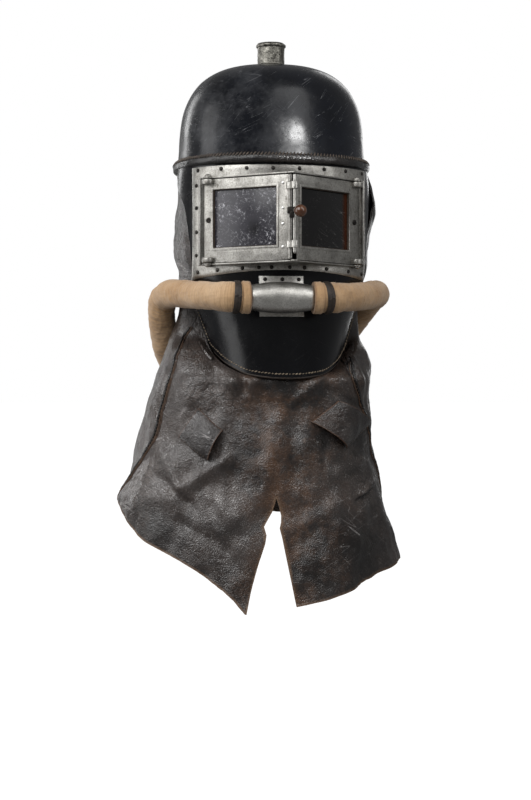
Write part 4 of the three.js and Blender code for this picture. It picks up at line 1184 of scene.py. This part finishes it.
def keeperPoint(corners, across, down, lift):
    mixed = lambda a, b, share: a * (1 - share) + b * share
    degrees, z = [mixed(mixed(a, c, down), mixed(b, d, down), across) for a, b, c, d in zip(*corners)]
    arch = keeper["arch"] * np.sin(np.pi * down) ** 0.8
    flat = 1.0 if corners is keeper["right"] else smoothstep(across, -0.15, 0.9) ** 1.3
    dip = (1.0 - 0.18 * np.sin(np.pi * across)) * flat
    return hoodPoint(degrees, z, keeper["gap"] + arch * dip + lift)


def makeKeeper(side):
    corners = keeper[side]
    across, down = shares(keeper["across"], keeper["rows"])
    outer, inner = [keeperPoint(corners, across, down, lift) for lift in (keeper["wall"], 0.0)]
    piece = Maker().grid(outer, inner).finish("strapKeeper" + side.title(), keeperLeather, 60)
    whole = slice(None)
    edges = ((whole, 0, 1), (whole, -1, 1), (0, whole, 0.7), (-1, whole, 0.7))
    markEdges(piece, gridMark(*outer.shape[:2], *edges))
    ride(piece, "shell", "soft_leather", "keeper_" + side)
    across = np.linspace(0.04, 0.96, 40)
    for k, (place, size) in enumerate(keeper["threads"]):
        line = keeperPoint(corners, across, np.full_like(across, place), keeper["wall"] + 0.3)
        out = line * [0.5, 1, 0]
        stitches("keeperStitches" + side.title() + str(k), line, out, keeper["pitch"], brownThread, size)


makeKeeper("left")
makeKeeper("right")
print("hood and cape made")


# Visor frame

visor = {
    "top": -130.5, "bottom": -265.5, "arch": 9.5, "halfWidth": 106.5, "gap": 0.8, "sheet": 1.6,
    "openHalf": 99, "openTop": -146, "openBottom": -247.8, "ledge": 1.8, "keep": 5.6,
    "wall": (-83, -70.5), "stop": 89.5, "stopWall": (-76.8, -75.2),
}
hinge = {"x": 91, "ahead": 87, "ridge": 162, "drum": 7.5, "drumHeight": 6.4, "pin": 2, "ear": 6}
hingeAngle = math.atan2(hinge["ridge"] - hinge["ahead"], hinge["x"])
boltAhead = 168


def visorFoot(x):
    return visor["bottom"] + visor["arch"] * (1 - (x / visor["halfWidth"]) ** 2)


# The riveted flange that follows the mask, with its edges rolled down a little
def visorFlange():
    v = visor
    turnAt = lambda x: math.asin((abs(x) / float(maskHalf(v["top"]))) ** 1.1) * np.sign(x)
    half, opening = v["halfWidth"], v["openHalf"]
    spans = ((-half, -opening, 5), (-opening, opening, 81), (opening, half, 5))
    xs = [onMask(np.linspace(turnAt(a), turnAt(b), n), np.full(n, v["top"]))[:, 0] for a, b, n in spans]
    x = np.concatenate([xs[0], xs[1][1:], xs[2][1:]])[None, :]
    foot = visorFoot(x)
    rows = [np.linspace(v["top"], v["openTop"], 7), np.linspace(v["openTop"], v["openBottom"], 31)[1:]]
    z = np.concatenate([r[:, None] + 0 * x for r in rows])
    share = np.linspace(0, 1, 8)[1:, None]
    z = np.concatenate([z, v["openBottom"] + (foot - v["openBottom"]) * share])
    outer, inner = [onMaskAt(x + 0 * z, z, v["gap"] + sheet) for sheet in (v["sheet"], 0)]
    rolled = lambda away, width, amount: np.exp(-(np.abs(away) / width) ** 2)[..., None] * amount
    bend = rolled(np.abs(x) - v["halfWidth"], 2.2, 0.7)
    ends = rolled(z - v["top"], 1.6, 0.5) + rolled(z - foot, 1.6, 0.5)
    outer = outer + (inner - outer) * np.clip(bend + ends, 0, 0.75)
    return Maker().grid(outer, inner, hole=(6, 36, 4, 84))


def makeVisorFrame():
    v = visor
    maker = visorFlange()
    slope = math.tan(hingeAngle)
    ridge = hinge["ridge"] + 0.6
    cheek = v["openHalf"] - 1.5
    outline = [(-cheek, cheek * slope - ridge), (0, -ridge), (cheek, cheek * slope - ridge)]
    for k in range(25):
        rx = v["openHalf"] - 2 * v["openHalf"] * k / 24
        outline.append((rx, float(onMaskAt(np.array(rx), np.array(v["openTop"]), v["gap"] + 0.8)[1])))
    for low in (v["openTop"], v["openBottom"] - v["ledge"]):
        high = low + v["ledge"]
        maker.prism(outline, low, high, 0.55)
        for x in (-hinge["x"], hinge["x"]):
            maker.upright(discProfile(0, hinge["ear"], low, high, 0.4), x, -hinge["ahead"], 36)
    low, high, r = v["openBottom"] - v["ledge"], v["openBottom"], v["keep"]
    keep = [(3.1, low), (r - 0.4, low), (r, low + 0.4), (r, high - 0.3), (r - 0.3, high), (3.1, high)]
    maker.upright(keep, 0, -boltAhead, 36, True)
    for side in (-1, 1):
        for a, b, (y0, y1), grow, bevel in ((v["openHalf"], v["openHalf"] + v["ledge"], v["wall"], 1.4, 0.5),
                                            (v["stop"], v["openHalf"] + 0.5, v["stopWall"], 1, 0.3)):
            x0, x1 = sorted((side * a, side * b))
            maker.block((x0, y0, v["openBottom"] - grow), (x1, y1, v["openTop"] + grow), bevel)
        axis = (side * hinge["x"], -hinge["ahead"])
        top, foot = v["openTop"] + v["ledge"], v["openBottom"] - v["ledge"]
        cap = [(0, top - 0.6), (4.4, top - 0.6), (4.3, top + 0.8), (3.4, top + 2.4), (1.9, top + 3.3),
               (0, top + 3.6)]
        nut = [(0, foot + 0.4), (3.6, foot + 0.4), (3.5, foot - 1.6), (2.6, foot - 2.4), (0, foot - 2.5)]
        maker.upright(cap, *axis, 28).upright(nut, *axis)
        for a in (v["openTop"] - 6.4, v["openBottom"] - 0.5):
            b, r = a + 6.9, hinge["pin"]
            maker.upright([(0, a), (r, a), (r, b), (0, b)], *axis)
    ride(maker.finish("visorFrame", nickel, 34), "shell", "nickel_plate", "visor_frame")


def maskRivets(places, lift):
    points, out = [], []
    for x, z in places:
        x, z = np.array(float(x)), np.array(float(z))
        side = onMaskAt(x + 0.5, z, lift) - onMaskAt(x - 0.5, z, lift)
        up = onMaskAt(x, z + 0.5, lift) - onMaskAt(x, z - 0.5, lift)
        points.append(onMaskAt(x, z, lift))
        out.append(unit(np.cross(side, up)))
    return np.array(points), np.array(out)


rivets = {
    "top": (-101, -76, -47, -16, 16, 47, 76, 101), "topAt": -134.6, "side": (-153, -180, -209, -237),
    "sideAt": 102.8, "foot": (-101, -80, -52, -33, -18, 4, 22, 50, 80, 101), "inlet": (-26, -5.5, 14.5),
    "inletAt": -267.4, "head": (0.0026, 0.0026, 0.0015, 0.12, 5, 20, 12),
}


def makeRivets():
    footAt = lambda x: (visor["openBottom"] - visor["ledge"] + visorFoot(x)) / 2
    places = [(x, rivets["topAt"]) for x in rivets["top"]] + [(x, footAt(x)) for x in rivets["foot"]]
    for z in rivets["side"]:
        places += [(-rivets["sideAt"], z), (rivets["sideAt"], z)]
    rows = (("top", 8), ("foot", 10), ("left", 4), ("right", 4), ("inlet", 3))
    names = ["rivet_%s_%d" % (row, k + 1) for row, count in rows for k in range(count)]
    points, out = maskRivets(places, visor["gap"] + visor["sheet"] + 0.1)
    more, moreOut = maskRivets([(x, rivets["inletAt"]) for x in rivets["inlet"]], visor["gap"] + 1.9)
    points, out = np.concatenate([points, more]), np.concatenate([out, moreOut])
    along = np.tile([1.0, 0.3, 0.2], (len(points), 1))
    heads = repeat("flangeRivets", points, out, along, darkMetal, rivets["head"])
    ride(heads, "shell", "dark_metal", *names)


makeVisorFrame()
makeRivets()
print("visor frame made")


# Doors, glass and bolt

door = {"top": -147, "bottom": -247, "tail": 6, "front": -1, "back": -4, "lip": 2.6, "rise": 0.9}
windows = {
    "left": {"from": 6.5, "to": 94.5, "top": -159.5, "bottom": -229.8, "mitre": 5.0},
    "right": {"from": 13.5, "to": 103.5, "top": -161, "bottom": -230.8, "mitre": 4.2},
}
rail = {"along": 113, "out": 0.2, "radius": 2.6}


def doorPlace(way):
    c, s = math.cos(hingeAngle), math.sin(hingeAngle)

    def place(along, out, z):
        x = -hinge["x"] + along * c - out * s
        ahead = hinge["ahead"] + along * s + out * c
        return [way * x, -ahead, z]

    return place


# How far a door reaches at a depth, up to its mitred meeting edge
def leafEnd(side, out):
    c, s = math.cos(hingeAngle), math.sin(hingeAngle)
    return (hinge["x"] - windows[side]["mitre"] + out * s) / c


# A frame round the window; each size is how far it lies outside the opening
def windowFrame(maker, w, outer, inner, near, far, bevel, place):
    around = lambda grow: (w["from"] - grow, w["to"] + grow, w["bottom"] - grow, w["top"] + grow)
    return maker.frame(around(outer), around(inner), near, far, bevel, place)


def makeDoor(side, way):
    place = doorPlace(way)
    w = windows[side]
    d = door
    body = "door_" + side
    mitred = lambda along, out, z: place(min(along, leafEnd(side, out)), out, z)
    opening = (w["from"], w["to"], w["bottom"], w["top"])
    leaf = (-d["tail"], leafEnd(side, d["front"]), d["bottom"], d["top"])
    maker = Maker().frame(leaf, opening, d["back"], d["front"], 0.45, mitred)
    windowFrame(maker, w, d["lip"], -0.2, d["front"] - 0.4, d["front"] + d["rise"], 0.5, place)
    h, r = hinge["drumHeight"], hinge["drum"]
    for low, high in ((d["bottom"], d["bottom"] + h), (d["top"] - h, d["top"])):
        drum = [(2.4, low), (r - 0.8, low), (r - 0.2, low + 0.5), (r, low + 1.3), (r, high - 1.3),
                (r - 0.2, high - 0.5), (r - 0.8, high), (2.4, high)]
        maker.upright(drum, *place(0, 0, 0)[:2], 40, True)
    if side == "left":
        post = discProfile(0, rail["radius"], d["bottom"] + 0.5, d["top"] - 0.5, 0.5)
        maker.upright(post, *place(rail["along"], rail["out"], 0)[:2])
    ride(maker.finish("door" + side.title(), nickel, 34), body, "nickel_plate", body)
    # A dark brown seat round the window: partly putty and grime, partly painted shade in the recess
    seat = windowFrame(Maker(), w, 0.5, -1.1, d["back"] - 0.2, d["back"] + 2.0, 0.3, place)
    ride(seat.finish("putty" + side.title(), putty, 34), body, "visor_glass")
    near, far = d["back"] - 0.3, d["back"] - 2.3
    low, high = (w["from"] - 2, far, w["bottom"] - 2), (w["to"] + 2, near, w["top"] + 2)
    glass = Maker().block(low, high, 0.3, place)
    pane = glass.finish("pane" + side.title(), glassLeft if side == "left" else glassRight, 34)
    ride(pane, body, "visor_glass", "pane_" + side)
    head = screwHead(place, (w["from"] - d["tail"]) / 2, math.radians(screw["turn"][side]))
    ride(head.finish("screw" + side.title(), darkMetal, 34), body, "dark_metal", "screw_" + side)


screw = {"turn": {"left": 35, "right": -28}, "z": -196, "radius": 3.4, "slot": 0.16, "rise": 1.5,
         "taper": 0.86}


# Two half discs with the slot between them, on a thin base
def screwHead(place, along, turn):
    head = Maker()
    for half in (-1, 1):
        turned = []
        for a in np.linspace(screw["slot"], math.pi - screw["slot"], 15):
            u, q = math.cos(a) * screw["radius"], half * (math.sin(a) * screw["radius"])
            turned.append((u * math.cos(turn) - q * math.sin(turn), u * math.sin(turn) + q * math.cos(turn)))
        ends = ((-0.2, 1), (screw["rise"], screw["taper"]))
        at = lambda u, q, out, k: (along + u * k, door["front"] + out, screw["z"] + q * k)
        verts = [at(u, q, *end) for end in ends for u, q in turned]
        head.soft(verts, prismFaces(len(turned)), 0.25, place, 1)
    outward = Vector(place(0, 1, 0)) - Vector(place(0, 0, 0))
    base = [(0, -0.2), (3.2, -0.2), (3.2, 0.5), (0, 0.5)]
    return head.revolve(base, place(along, door["front"], screw["z"]), outward, 20)


collars = {
    "Upper": -160.8, "Lower": -229.4, "tall": 8.7, "radius": 4.2, "rodHole": 2.85, "postHole": 2.95,
    "postRadius": 4.6,
}
bolt = {
    "top": -148.5, "bottom": -241, "radius": 2.0, "stem": [3.2, 2.4, 2.0, 2.0, 2.0, 2.0, 2.6, 2.6],
    "stemFrom": (0, -169, -190.6), "stemTo": (1, -196, -194), "ball": 7.4, "ballAt": (1, -199, -194),
    "boss": (((-8.6, -171.4, -194.6), (1.6, -164.5, -186.4)), ((-6.6, -172.4, -199.4), (-1.4, -166.5, -192))),
}
doorRivets = {
    "along": 102.5, "heights": (-156.5, -186, -204.5, -231.5),
    "head": (0.0021, 0.0021, 0.0011, 0.1, 8, 20, 12),
}


def makeCollar(place, name):
    c = collars
    low, high = c[name] - c["tall"] / 2, c[name] + c["tall"] / 2
    x, y, _ = place(rail["along"], rail["out"], 0)
    maker = Maker()
    maker.upright(discProfile(c["rodHole"], c["radius"], low, high, 0.6), 0, -boltAhead, 32, True)
    maker.upright(discProfile(c["postHole"], c["postRadius"], low, high, 0.6), x, y, 32, True)
    ridge = [(0.0, -boltAhead + 3.2), (-3.4, -boltAhead + 4.2), (x - 3.2, y - 1.4), (x + 1.0, y - 3.1)]
    maker.prism(ridge, low + 0.3, high - 0.3, 0.4)
    ride(maker.finish("collar" + name, nickelSmooth, 34), "door_left", "nickel_plate",
         "collar_" + name.lower())


def makeBolt():
    place = doorPlace(1)
    for name in ("Upper", "Lower"):
        makeCollar(place, name)
    top, bottom, r = bolt["top"], bolt["bottom"], bolt["radius"]
    outline = [(0, bottom), (1.2, bottom + 0.5), (1.8, bottom + 1.6), (r, bottom + 2.6), (r, top - 0.5),
               (r - 0.5, top), (0, top)]
    rod = Maker().upright(outline, 0, -boltAhead, 28)
    boss = Maker()
    for low, high in bolt["boss"]:
        boss.block(low, high, 1.6)
    ride(boss.finish("boltBoss", darkMetal, 34), "bolt", "dark_metal")
    start, end = np.array(bolt["stemFrom"]), np.array(bolt["stemTo"])
    rod.tube(start + (end - start) * np.linspace(0, 1, 8)[:, None], bolt["stem"], 20)
    ride(rod.finish("boltRod", nickelSmooth, 34), "bolt", "nickel_plate", "bolt_rod")
    ball = bolt["ball"]
    arc = [(ball * math.sin(a), ball * math.cos(a)) for a in np.linspace(0, math.pi * 0.91, 30)]
    r, foot = arc[-1]
    arc += [(r * 0.7, foot - 0.5), (0, foot - 0.5)]
    knob = Maker().revolve(arc, bolt["ballAt"], Vector(end - start), 48)
    ride(knob.finish("ballKnob", horn, 50), "bolt", "horn", "ball_knob")
    places = np.array([place(doorRivets["along"], door["front"] + 0.05, z) for z in doorRivets["heights"]])
    outward = np.array(place(0, 1, 0)) - np.array(place(0, 0, 0))
    directions = [np.tile(way, (4, 1)) for way in (outward, [0.0, 0.2, 1.0])]
    heads = repeat("doorRivets", places, *directions, rivetBright, doorRivets["head"])
    ride(heads, "door_left", "nickel_plate", *["rivet_door_%d" % (k + 1) for k in range(4)])


makeDoor("left", 1)
makeDoor("right", -1)
makeBolt()
print("doors and bolt made")


# Air inlet, hoses and manifold

inlet = {"x": -10.5, "ahead": 137.6, "z": -290.5, "half": 37.2, "end": 14.6, "middle": 18.7, "neck": 11}
inletPlate = {"from": -33, "to": 20, "top": -263.5, "bottom": -312, "sheet": 1.8}


def makeInlet():
    i = inlet
    profile = [(0, -i["half"]), (i["end"] - 1.2, -i["half"]), (i["end"] - 0.3, -i["half"] + 0.3)]
    for t in np.linspace(-1, 1, 41):
        bulge = max(math.cos(t * math.pi / 2), 0) ** 0.9
        profile.append((i["end"] + (i["middle"] - i["end"]) * bulge, t * (i["half"] - 0.8)))
    profile += [(i["end"] - 0.3, i["half"] - 0.3), (i["end"] - 1.2, i["half"]), (0, i["half"])]
    middle = (i["x"], -i["ahead"], i["z"])
    maker = Maker().revolve(profile, middle, (1, 0, 0), 72)
    p = inletPlate
    x, z = np.meshgrid(np.linspace(p["from"], p["to"], 25), np.linspace(p["top"], p["bottom"], 21))
    maker.grid(*[onMaskAt(x, z, visor["gap"] + sheet) for sheet in (p["sheet"], 0)])
    length = i["ahead"] - float(maskAhead(i["z"])) - 1.5
    neck = [(0, 0), (i["neck"], 0), (i["neck"], length - 3), (i["neck"] + 2.5, length), (0, length)]
    maker.revolve(neck, middle, (0, 1, 0), 36)
    ride(maker.finish("airInlet", nickelSmooth, 34), "shell", "nickel_plate", "air_inlet")


# The same points as the solids' routes, as (x, ahead, height).
hoseRoutes = {
    "left": [(-48.2, 137.6, -290.5), (-58, 137.6, -290.5), (-72, 137, -290), (-87, 125, -288.5),
             (-101, 102, -286.5), (-112.5, 74, -284), (-124, 50, -281.5), (-131.5, 27, -281.5),
             (-136, 6, -287), (-135.8, -12, -303), (-131.5, -33, -325), (-126, -52, -343), (-118, -73, -358),
             (-104, -94, -370), (-86, -111, -377), (-68, -121, -380), (-57, -123, -380), (-50, -123, -380)],
    "right": [(27.2, 137.6, -290.5), (37, 137.6, -290.5), (48, 136, -290), (65, 128, -289), (85, 110.5, -287),
              (103, 87.5, -285), (116, 61, -281.5), (126, 35, -279.5), (130.5, 10, -279.5), (131, -13, -283),
              (127, -37, -293), (119, -61, -309), (108, -82, -328), (96, -102, -350), (81, -116, -368),
              (68, -122, -377), (57, -123, -380), (50, -123, -380)],
}
hose = {
    "radius": 16.7, "cuff": 19.0, "cuffLength": 9.5, "shoulder": 17.9, "spacing": 1.3, "sides": 60,
    "ribPitch": 2.6,
    "around": 0.105,  # metres of cloth round the hose
    "shoulderEnds": (26, 44), "edge": 0.7, "squeeze": 0.5, "ribHeight": 0.14, "lump": 0.35,
    "wrinkles": {"pitch": 6.0, "wander": 3.2, "least": 0.10, "bend": 0.9, "sharpness": 42},
    "seed": {"left": 41, "right": 42},
}


def makeHose(side):
    path = smoothPath([(x, -p, z) for x, p, z in hoseRoutes[side]], hose["spacing"])
    reach = reachAlong(path)
    total = reach[-1]
    around, tangents = spokes(path, hose["sides"])
    curve = np.gradient(tangents, axis=0) / hose["spacing"]
    h, w = hose, hose["wrinkles"]
    body = h["radius"] + (h["shoulder"] - h["radius"]) * (1 - smoothstep(reach, *h["shoulderEnds"]))
    cuff = 1 - smoothstep(reach, h["cuffLength"], h["cuffLength"] + 0.9)
    radius = body + (h["cuff"] - body) * cuff
    radius = radius - h["edge"] * (1 - smoothstep(reach, 0, 1.2) + smoothstep(reach, total - 1.2, total))
    fromBand = reach - h["cuffLength"] - band["place"]
    radius = radius - h["squeeze"] * np.exp(-(fromBand / 3.6) ** 2)
    ring = path[:, None] + around * radius[:, None, None]
    inward = np.clip(np.einsum("nkd,nd->nk", around, curve) * w["sharpness"], 0, 1.0)
    ribs = h["ribHeight"] * np.sin(2 * math.pi * reach / h["ribPitch"])[:, None] * (1 - cuff)[:, None]
    fullness = noiseField(ring, 26, h["seed"][side], 3)
    wave = np.sin(2 * math.pi * reach[:, None] / w["pitch"] + w["wander"] * noiseField(ring, 13, 43, 2))
    wrinkle = wave * (inward * w["bend"] + w["least"])
    lump = noiseField(ring, 7, 44, 3) * h["lump"]
    ring = ring + around * (ribs + (fullness + lump) * (1 - 0.7 * cuff)[:, None] + wrinkle)[..., None]
    piece = Maker().rings(ring).finish("hose" + side.title(), hoseCloth, 70)
    setRingUv(piece, len(path), hose["sides"], reach)
    mark = np.zeros((len(path), hose["sides"]), np.float32)
    mark[reach < 1.5] = 1
    mark[np.abs(reach - hose["cuffLength"] - 0.9) < 1.2] = 0.8
    markEdges(piece, np.concatenate([mark.ravel(), [1, 0]]))  # the two end caps come last
    ride(piece, "shell", "hose_cloth", "hose_" + side)
    print("hose", side, "is", round(total), "mm long")
    return path, reach, around


# Cloth coordinates of a ringed tube; faces over the joint run on to the far end
def setRingUv(piece, rows, sides, reach):
    layer = piece.data.uv_layers.new(name="around")
    index = np.zeros(len(piece.data.loops), np.int64)
    piece.data.loops.foreach_get("vertex_index", index)
    row = np.minimum(index // sides, rows - 1)
    col = index % sides
    u = col / sides
    for face in piece.data.polygons:
        span = np.array(face.loop_indices)
        if max(col[span]) - min(col[span]) > sides / 2:
            u[span[col[span] == 0]] = 1.0
    uv = np.stack([u * hose["around"], reach[row] * mm], -1)
    layer.data.foreach_set("uv", uv.astype(np.float32).ravel())


band = {
    "place": 6.3, "grow": 0.5, "tilt": 1.6, "toward": (0.16, -0.97, -0.05), "knots": (-1.3, 1.4),
    "section": ((-3.2, -0.8), (-3.0, 0.7), (-2.2, 1.25), (-1.1, 1.35), (0, 0.95), (1.1, 1.35), (2.2, 1.25),
                (3.0, 0.7), (3.2, -0.8)),  # along the hose, above the cloth
}


def makeBand(side, path, reach, around):
    place = hose["cuffLength"] + band["place"]
    body = hose["shoulder"] + band["grow"]
    lean = band["tilt"] * np.sin(fullTurn(hose["sides"])) * 0.35
    rings = []
    for off, grow in band["section"]:
        at = reach.searchsorted(place + off)
        along = (path[at + 1] - path[at - 1]) / (2 * hose["spacing"])
        rings.append(path[at] + around[at] * (body + grow) + np.outer(lean, along))
    maker = Maker().loops(np.array(rings))
    middle = reach.searchsorted(place)
    outward = around[middle][np.argmax(around[middle] @ np.array(band["toward"]))]
    knot = path[middle] + outward * (body + 1.2)
    tangent = path[middle + 1] - path[middle - 1]
    for off in band["knots"]:
        at = knot + tangent * off * 0.6 + [0, 0, off * 0.7]
        maker.revolve([(0, -1.6), (1.2, -1.1), (1.6, 0), (1.2, 1.1), (0, 1.6)], at, outward, 16)
    ride(maker.finish("band" + side.title(), darkCord, 60), "shell", "dark_metal", "band_" + side)


manifold = {
    "half": 49.5, "radius": 18, "ahead": -123, "z": -380, "spigot": 14, "rim": 16, "bore": 10.5,
    "reach": -170, "rings": (-30, 30),
}


def makeManifold():
    m = manifold
    h, r = m["half"], m["radius"]
    middle = (0, -m["ahead"], m["z"])
    pipe = [(0, -h), (r - 0.8, -h), (r, -h + 0.8), (r, -h + 7), (r - 0.7, -h + 8), (r - 0.7, h - 8),
            (r, h - 7), (r, h - 0.8), (r - 0.8, h), (0, h)]
    maker = Maker().revolve(pipe, middle, (1, 0, 0), 48)
    end = m["ahead"] - m["reach"]
    s, rim, bore = m["spigot"], m["rim"], m["bore"]
    spigot = [(bore, end), (bore, 20), (bore - 1, 19), (s + 3.4, 12), (s + 2.6, 17.5), (s + 0.6, 20), (s, 22),
              (s, end - 6), (rim - 0.3, end - 5), (rim, end - 4), (rim, end - 0.6), (rim - 0.6, end)]
    maker.revolve(spigot, middle, (0, 1, 0), 48, True)
    for x in m["rings"]:
        ring = [(r - 1, x - 3), (r + 0.9, x - 3), (r + 1.2, x - 2.4), (r + 1.2, x + 2.4), (r + 0.9, x + 3),
                (r - 1, x + 3)]
        maker.revolve(ring, middle, (1, 0, 0), 48, True)
    ride(maker.finish("airManifold", darkMetal, 34), "shell", "dark_metal", "air_manifold")


makeInlet()
for sideName in ("left", "right"):
    makeBand(sideName, *makeHose(sideName))
makeManifold()
print("inlet and hoses made")


# Stage, light and camera

stage = {
    "floor": -1.2, "ambient": 0.22,
    "lights": {  # azimuth and elevation, distance, size, watts
        "key": (-34, 32, 2.5, (2.0, 1.7), 44), "tallRight": (33, 46, 2.4, (1.0, 1.5), 11),
        "sideLeft": (-78, 10, 2.2, (1.1, 2.0), 18), "crownSpot": (27, 16, 2.6, (0.40, 0.16), 30),
        "leatherLeft": (-48, 38, 2.4, (0.5, 0.5), 20), "leatherRight": (38, 46, 2.4, (0.4, 0.4), 12),
        "rightFill": (54, 20, 2.3, (1.0, 1.4), 10), "rimRight": (160, 20, 2.2, (0.4, 1.8), 5),
        "rimLeft": (-135, 12, 2.2, (0.4, 1.8), 10),
    },
    "sun": 3.4, "sunAngle": 1.2, "target": (0, -0.02, -0.30), "floorTone": 0.86,
}
camera = {"azimuth": 9.3, "location": (-0.3866, -2.3184, -0.411), "lens": 84.6, "clipEnd": 1000}


# Azimuth is counted from the camera's side, to the right; the light looks at the target
def areaLight(name, azimuth, elevation, distance, size, power):
    a, e = math.radians(azimuth - camera["azimuth"]), math.radians(elevation)
    back = Vector((math.sin(a) * math.cos(e), -math.cos(a) * math.cos(e), math.sin(e)))
    data = bpy.data.lights.new(name, "AREA")
    data.shape = "RECTANGLE"
    data.size, data.size_y = size
    data.energy = power
    lamp = addObject(name, data)
    lamp.location = Vector(stage["target"]) + back * distance
    lamp.rotation_euler = back.to_track_quat("Z", "Y").to_euler()
    return lamp


def linkLight(lamp, pieces, state):
    group = bpy.data.collections.new(lamp.name + "Lit")
    for piece in pieces:
        group.objects.link(piece)
    for entry in group.collection_objects:
        entry.light_linking.link_state = state
    lamp.light_linking.receiver_collection = group


# A pale floor that only the camera sees, with a sun of its own
def makeFloor():
    mesh = bpy.data.meshes.new("floor")
    r, z = 400, stage["floor"]
    mesh.from_pydata([(-r, -r, z), (r, -r, z), (r, r, z), (-r, r, z)], [], [[0, 1, 2, 3]])
    tone = stage["floorTone"]
    mesh.materials.append(Finish("paleFloor", Base_Color=(tone, tone, tone, 1), Roughness=0.9).material)
    floor = addObject("floor", mesh)
    floor.visible_glossy = False
    floor.visible_diffuse = False
    sun = bpy.data.lights.new("floorLight", "SUN")
    sun.energy = stage["sun"]
    sun.angle = stage["sunAngle"]
    linkLight(addObject("floorLight", sun), [floor], "INCLUDE")


def makeLights():
    lamps = {name: areaLight(name, *values) for name, values in stage["lights"].items()}
    shells = [bpy.data.objects[name] for name in ("crownShell", "maskShell")]
    top = [shells[0], bpy.data.objects["weltRoll"]]
    names = [piece.name for piece in bpy.data.objects]
    leathers = [bpy.data.objects[name] for name in names if name.endswith("Leather") or "Keeper" in name]
    for name, pieces, state in (
            ("key", shells, "EXCLUDE"), ("crownSpot", top, "INCLUDE"),
            ("rightFill", shells + leathers, "EXCLUDE"), ("leatherLeft", leathers, "INCLUDE"),
            ("leatherRight", leathers, "INCLUDE")):
        linkLight(lamps[name], pieces, state)


# White for the camera, dim for the light that falls on the pieces
def makeWorld():
    world = bpy.data.worlds.new("studio")
    world.use_nodes = True
    bpy.context.scene.world = world
    tree = world.node_tree
    background = tree.nodes["Background"].inputs
    background["Color"].default_value = (1, 1, 1, 1)
    seen = addNode(tree, "ShaderNodeLightPath")["Is Camera Ray"]
    level = {"Value": seen, "To Min": stage["ambient"], "To Max": 1.0}
    tree.links.new(addNode(tree, "ShaderNodeMapRange", level)["Result"], background["Strength"])
    bpy.context.scene.view_settings.view_transform = "Standard"


def makeCamera():
    data = bpy.data.cameras.new("camera")
    data.lens = camera["lens"]
    data.clip_end = camera["clipEnd"]
    made = addObject("camera", data)
    made.location = camera["location"]
    made.rotation_euler = (math.radians(90), 0, math.radians(-camera["azimuth"]))
    bpy.context.scene.camera = made


makeFloor()
makeLights()
makeWorld()
makeCamera()
print("stage made")
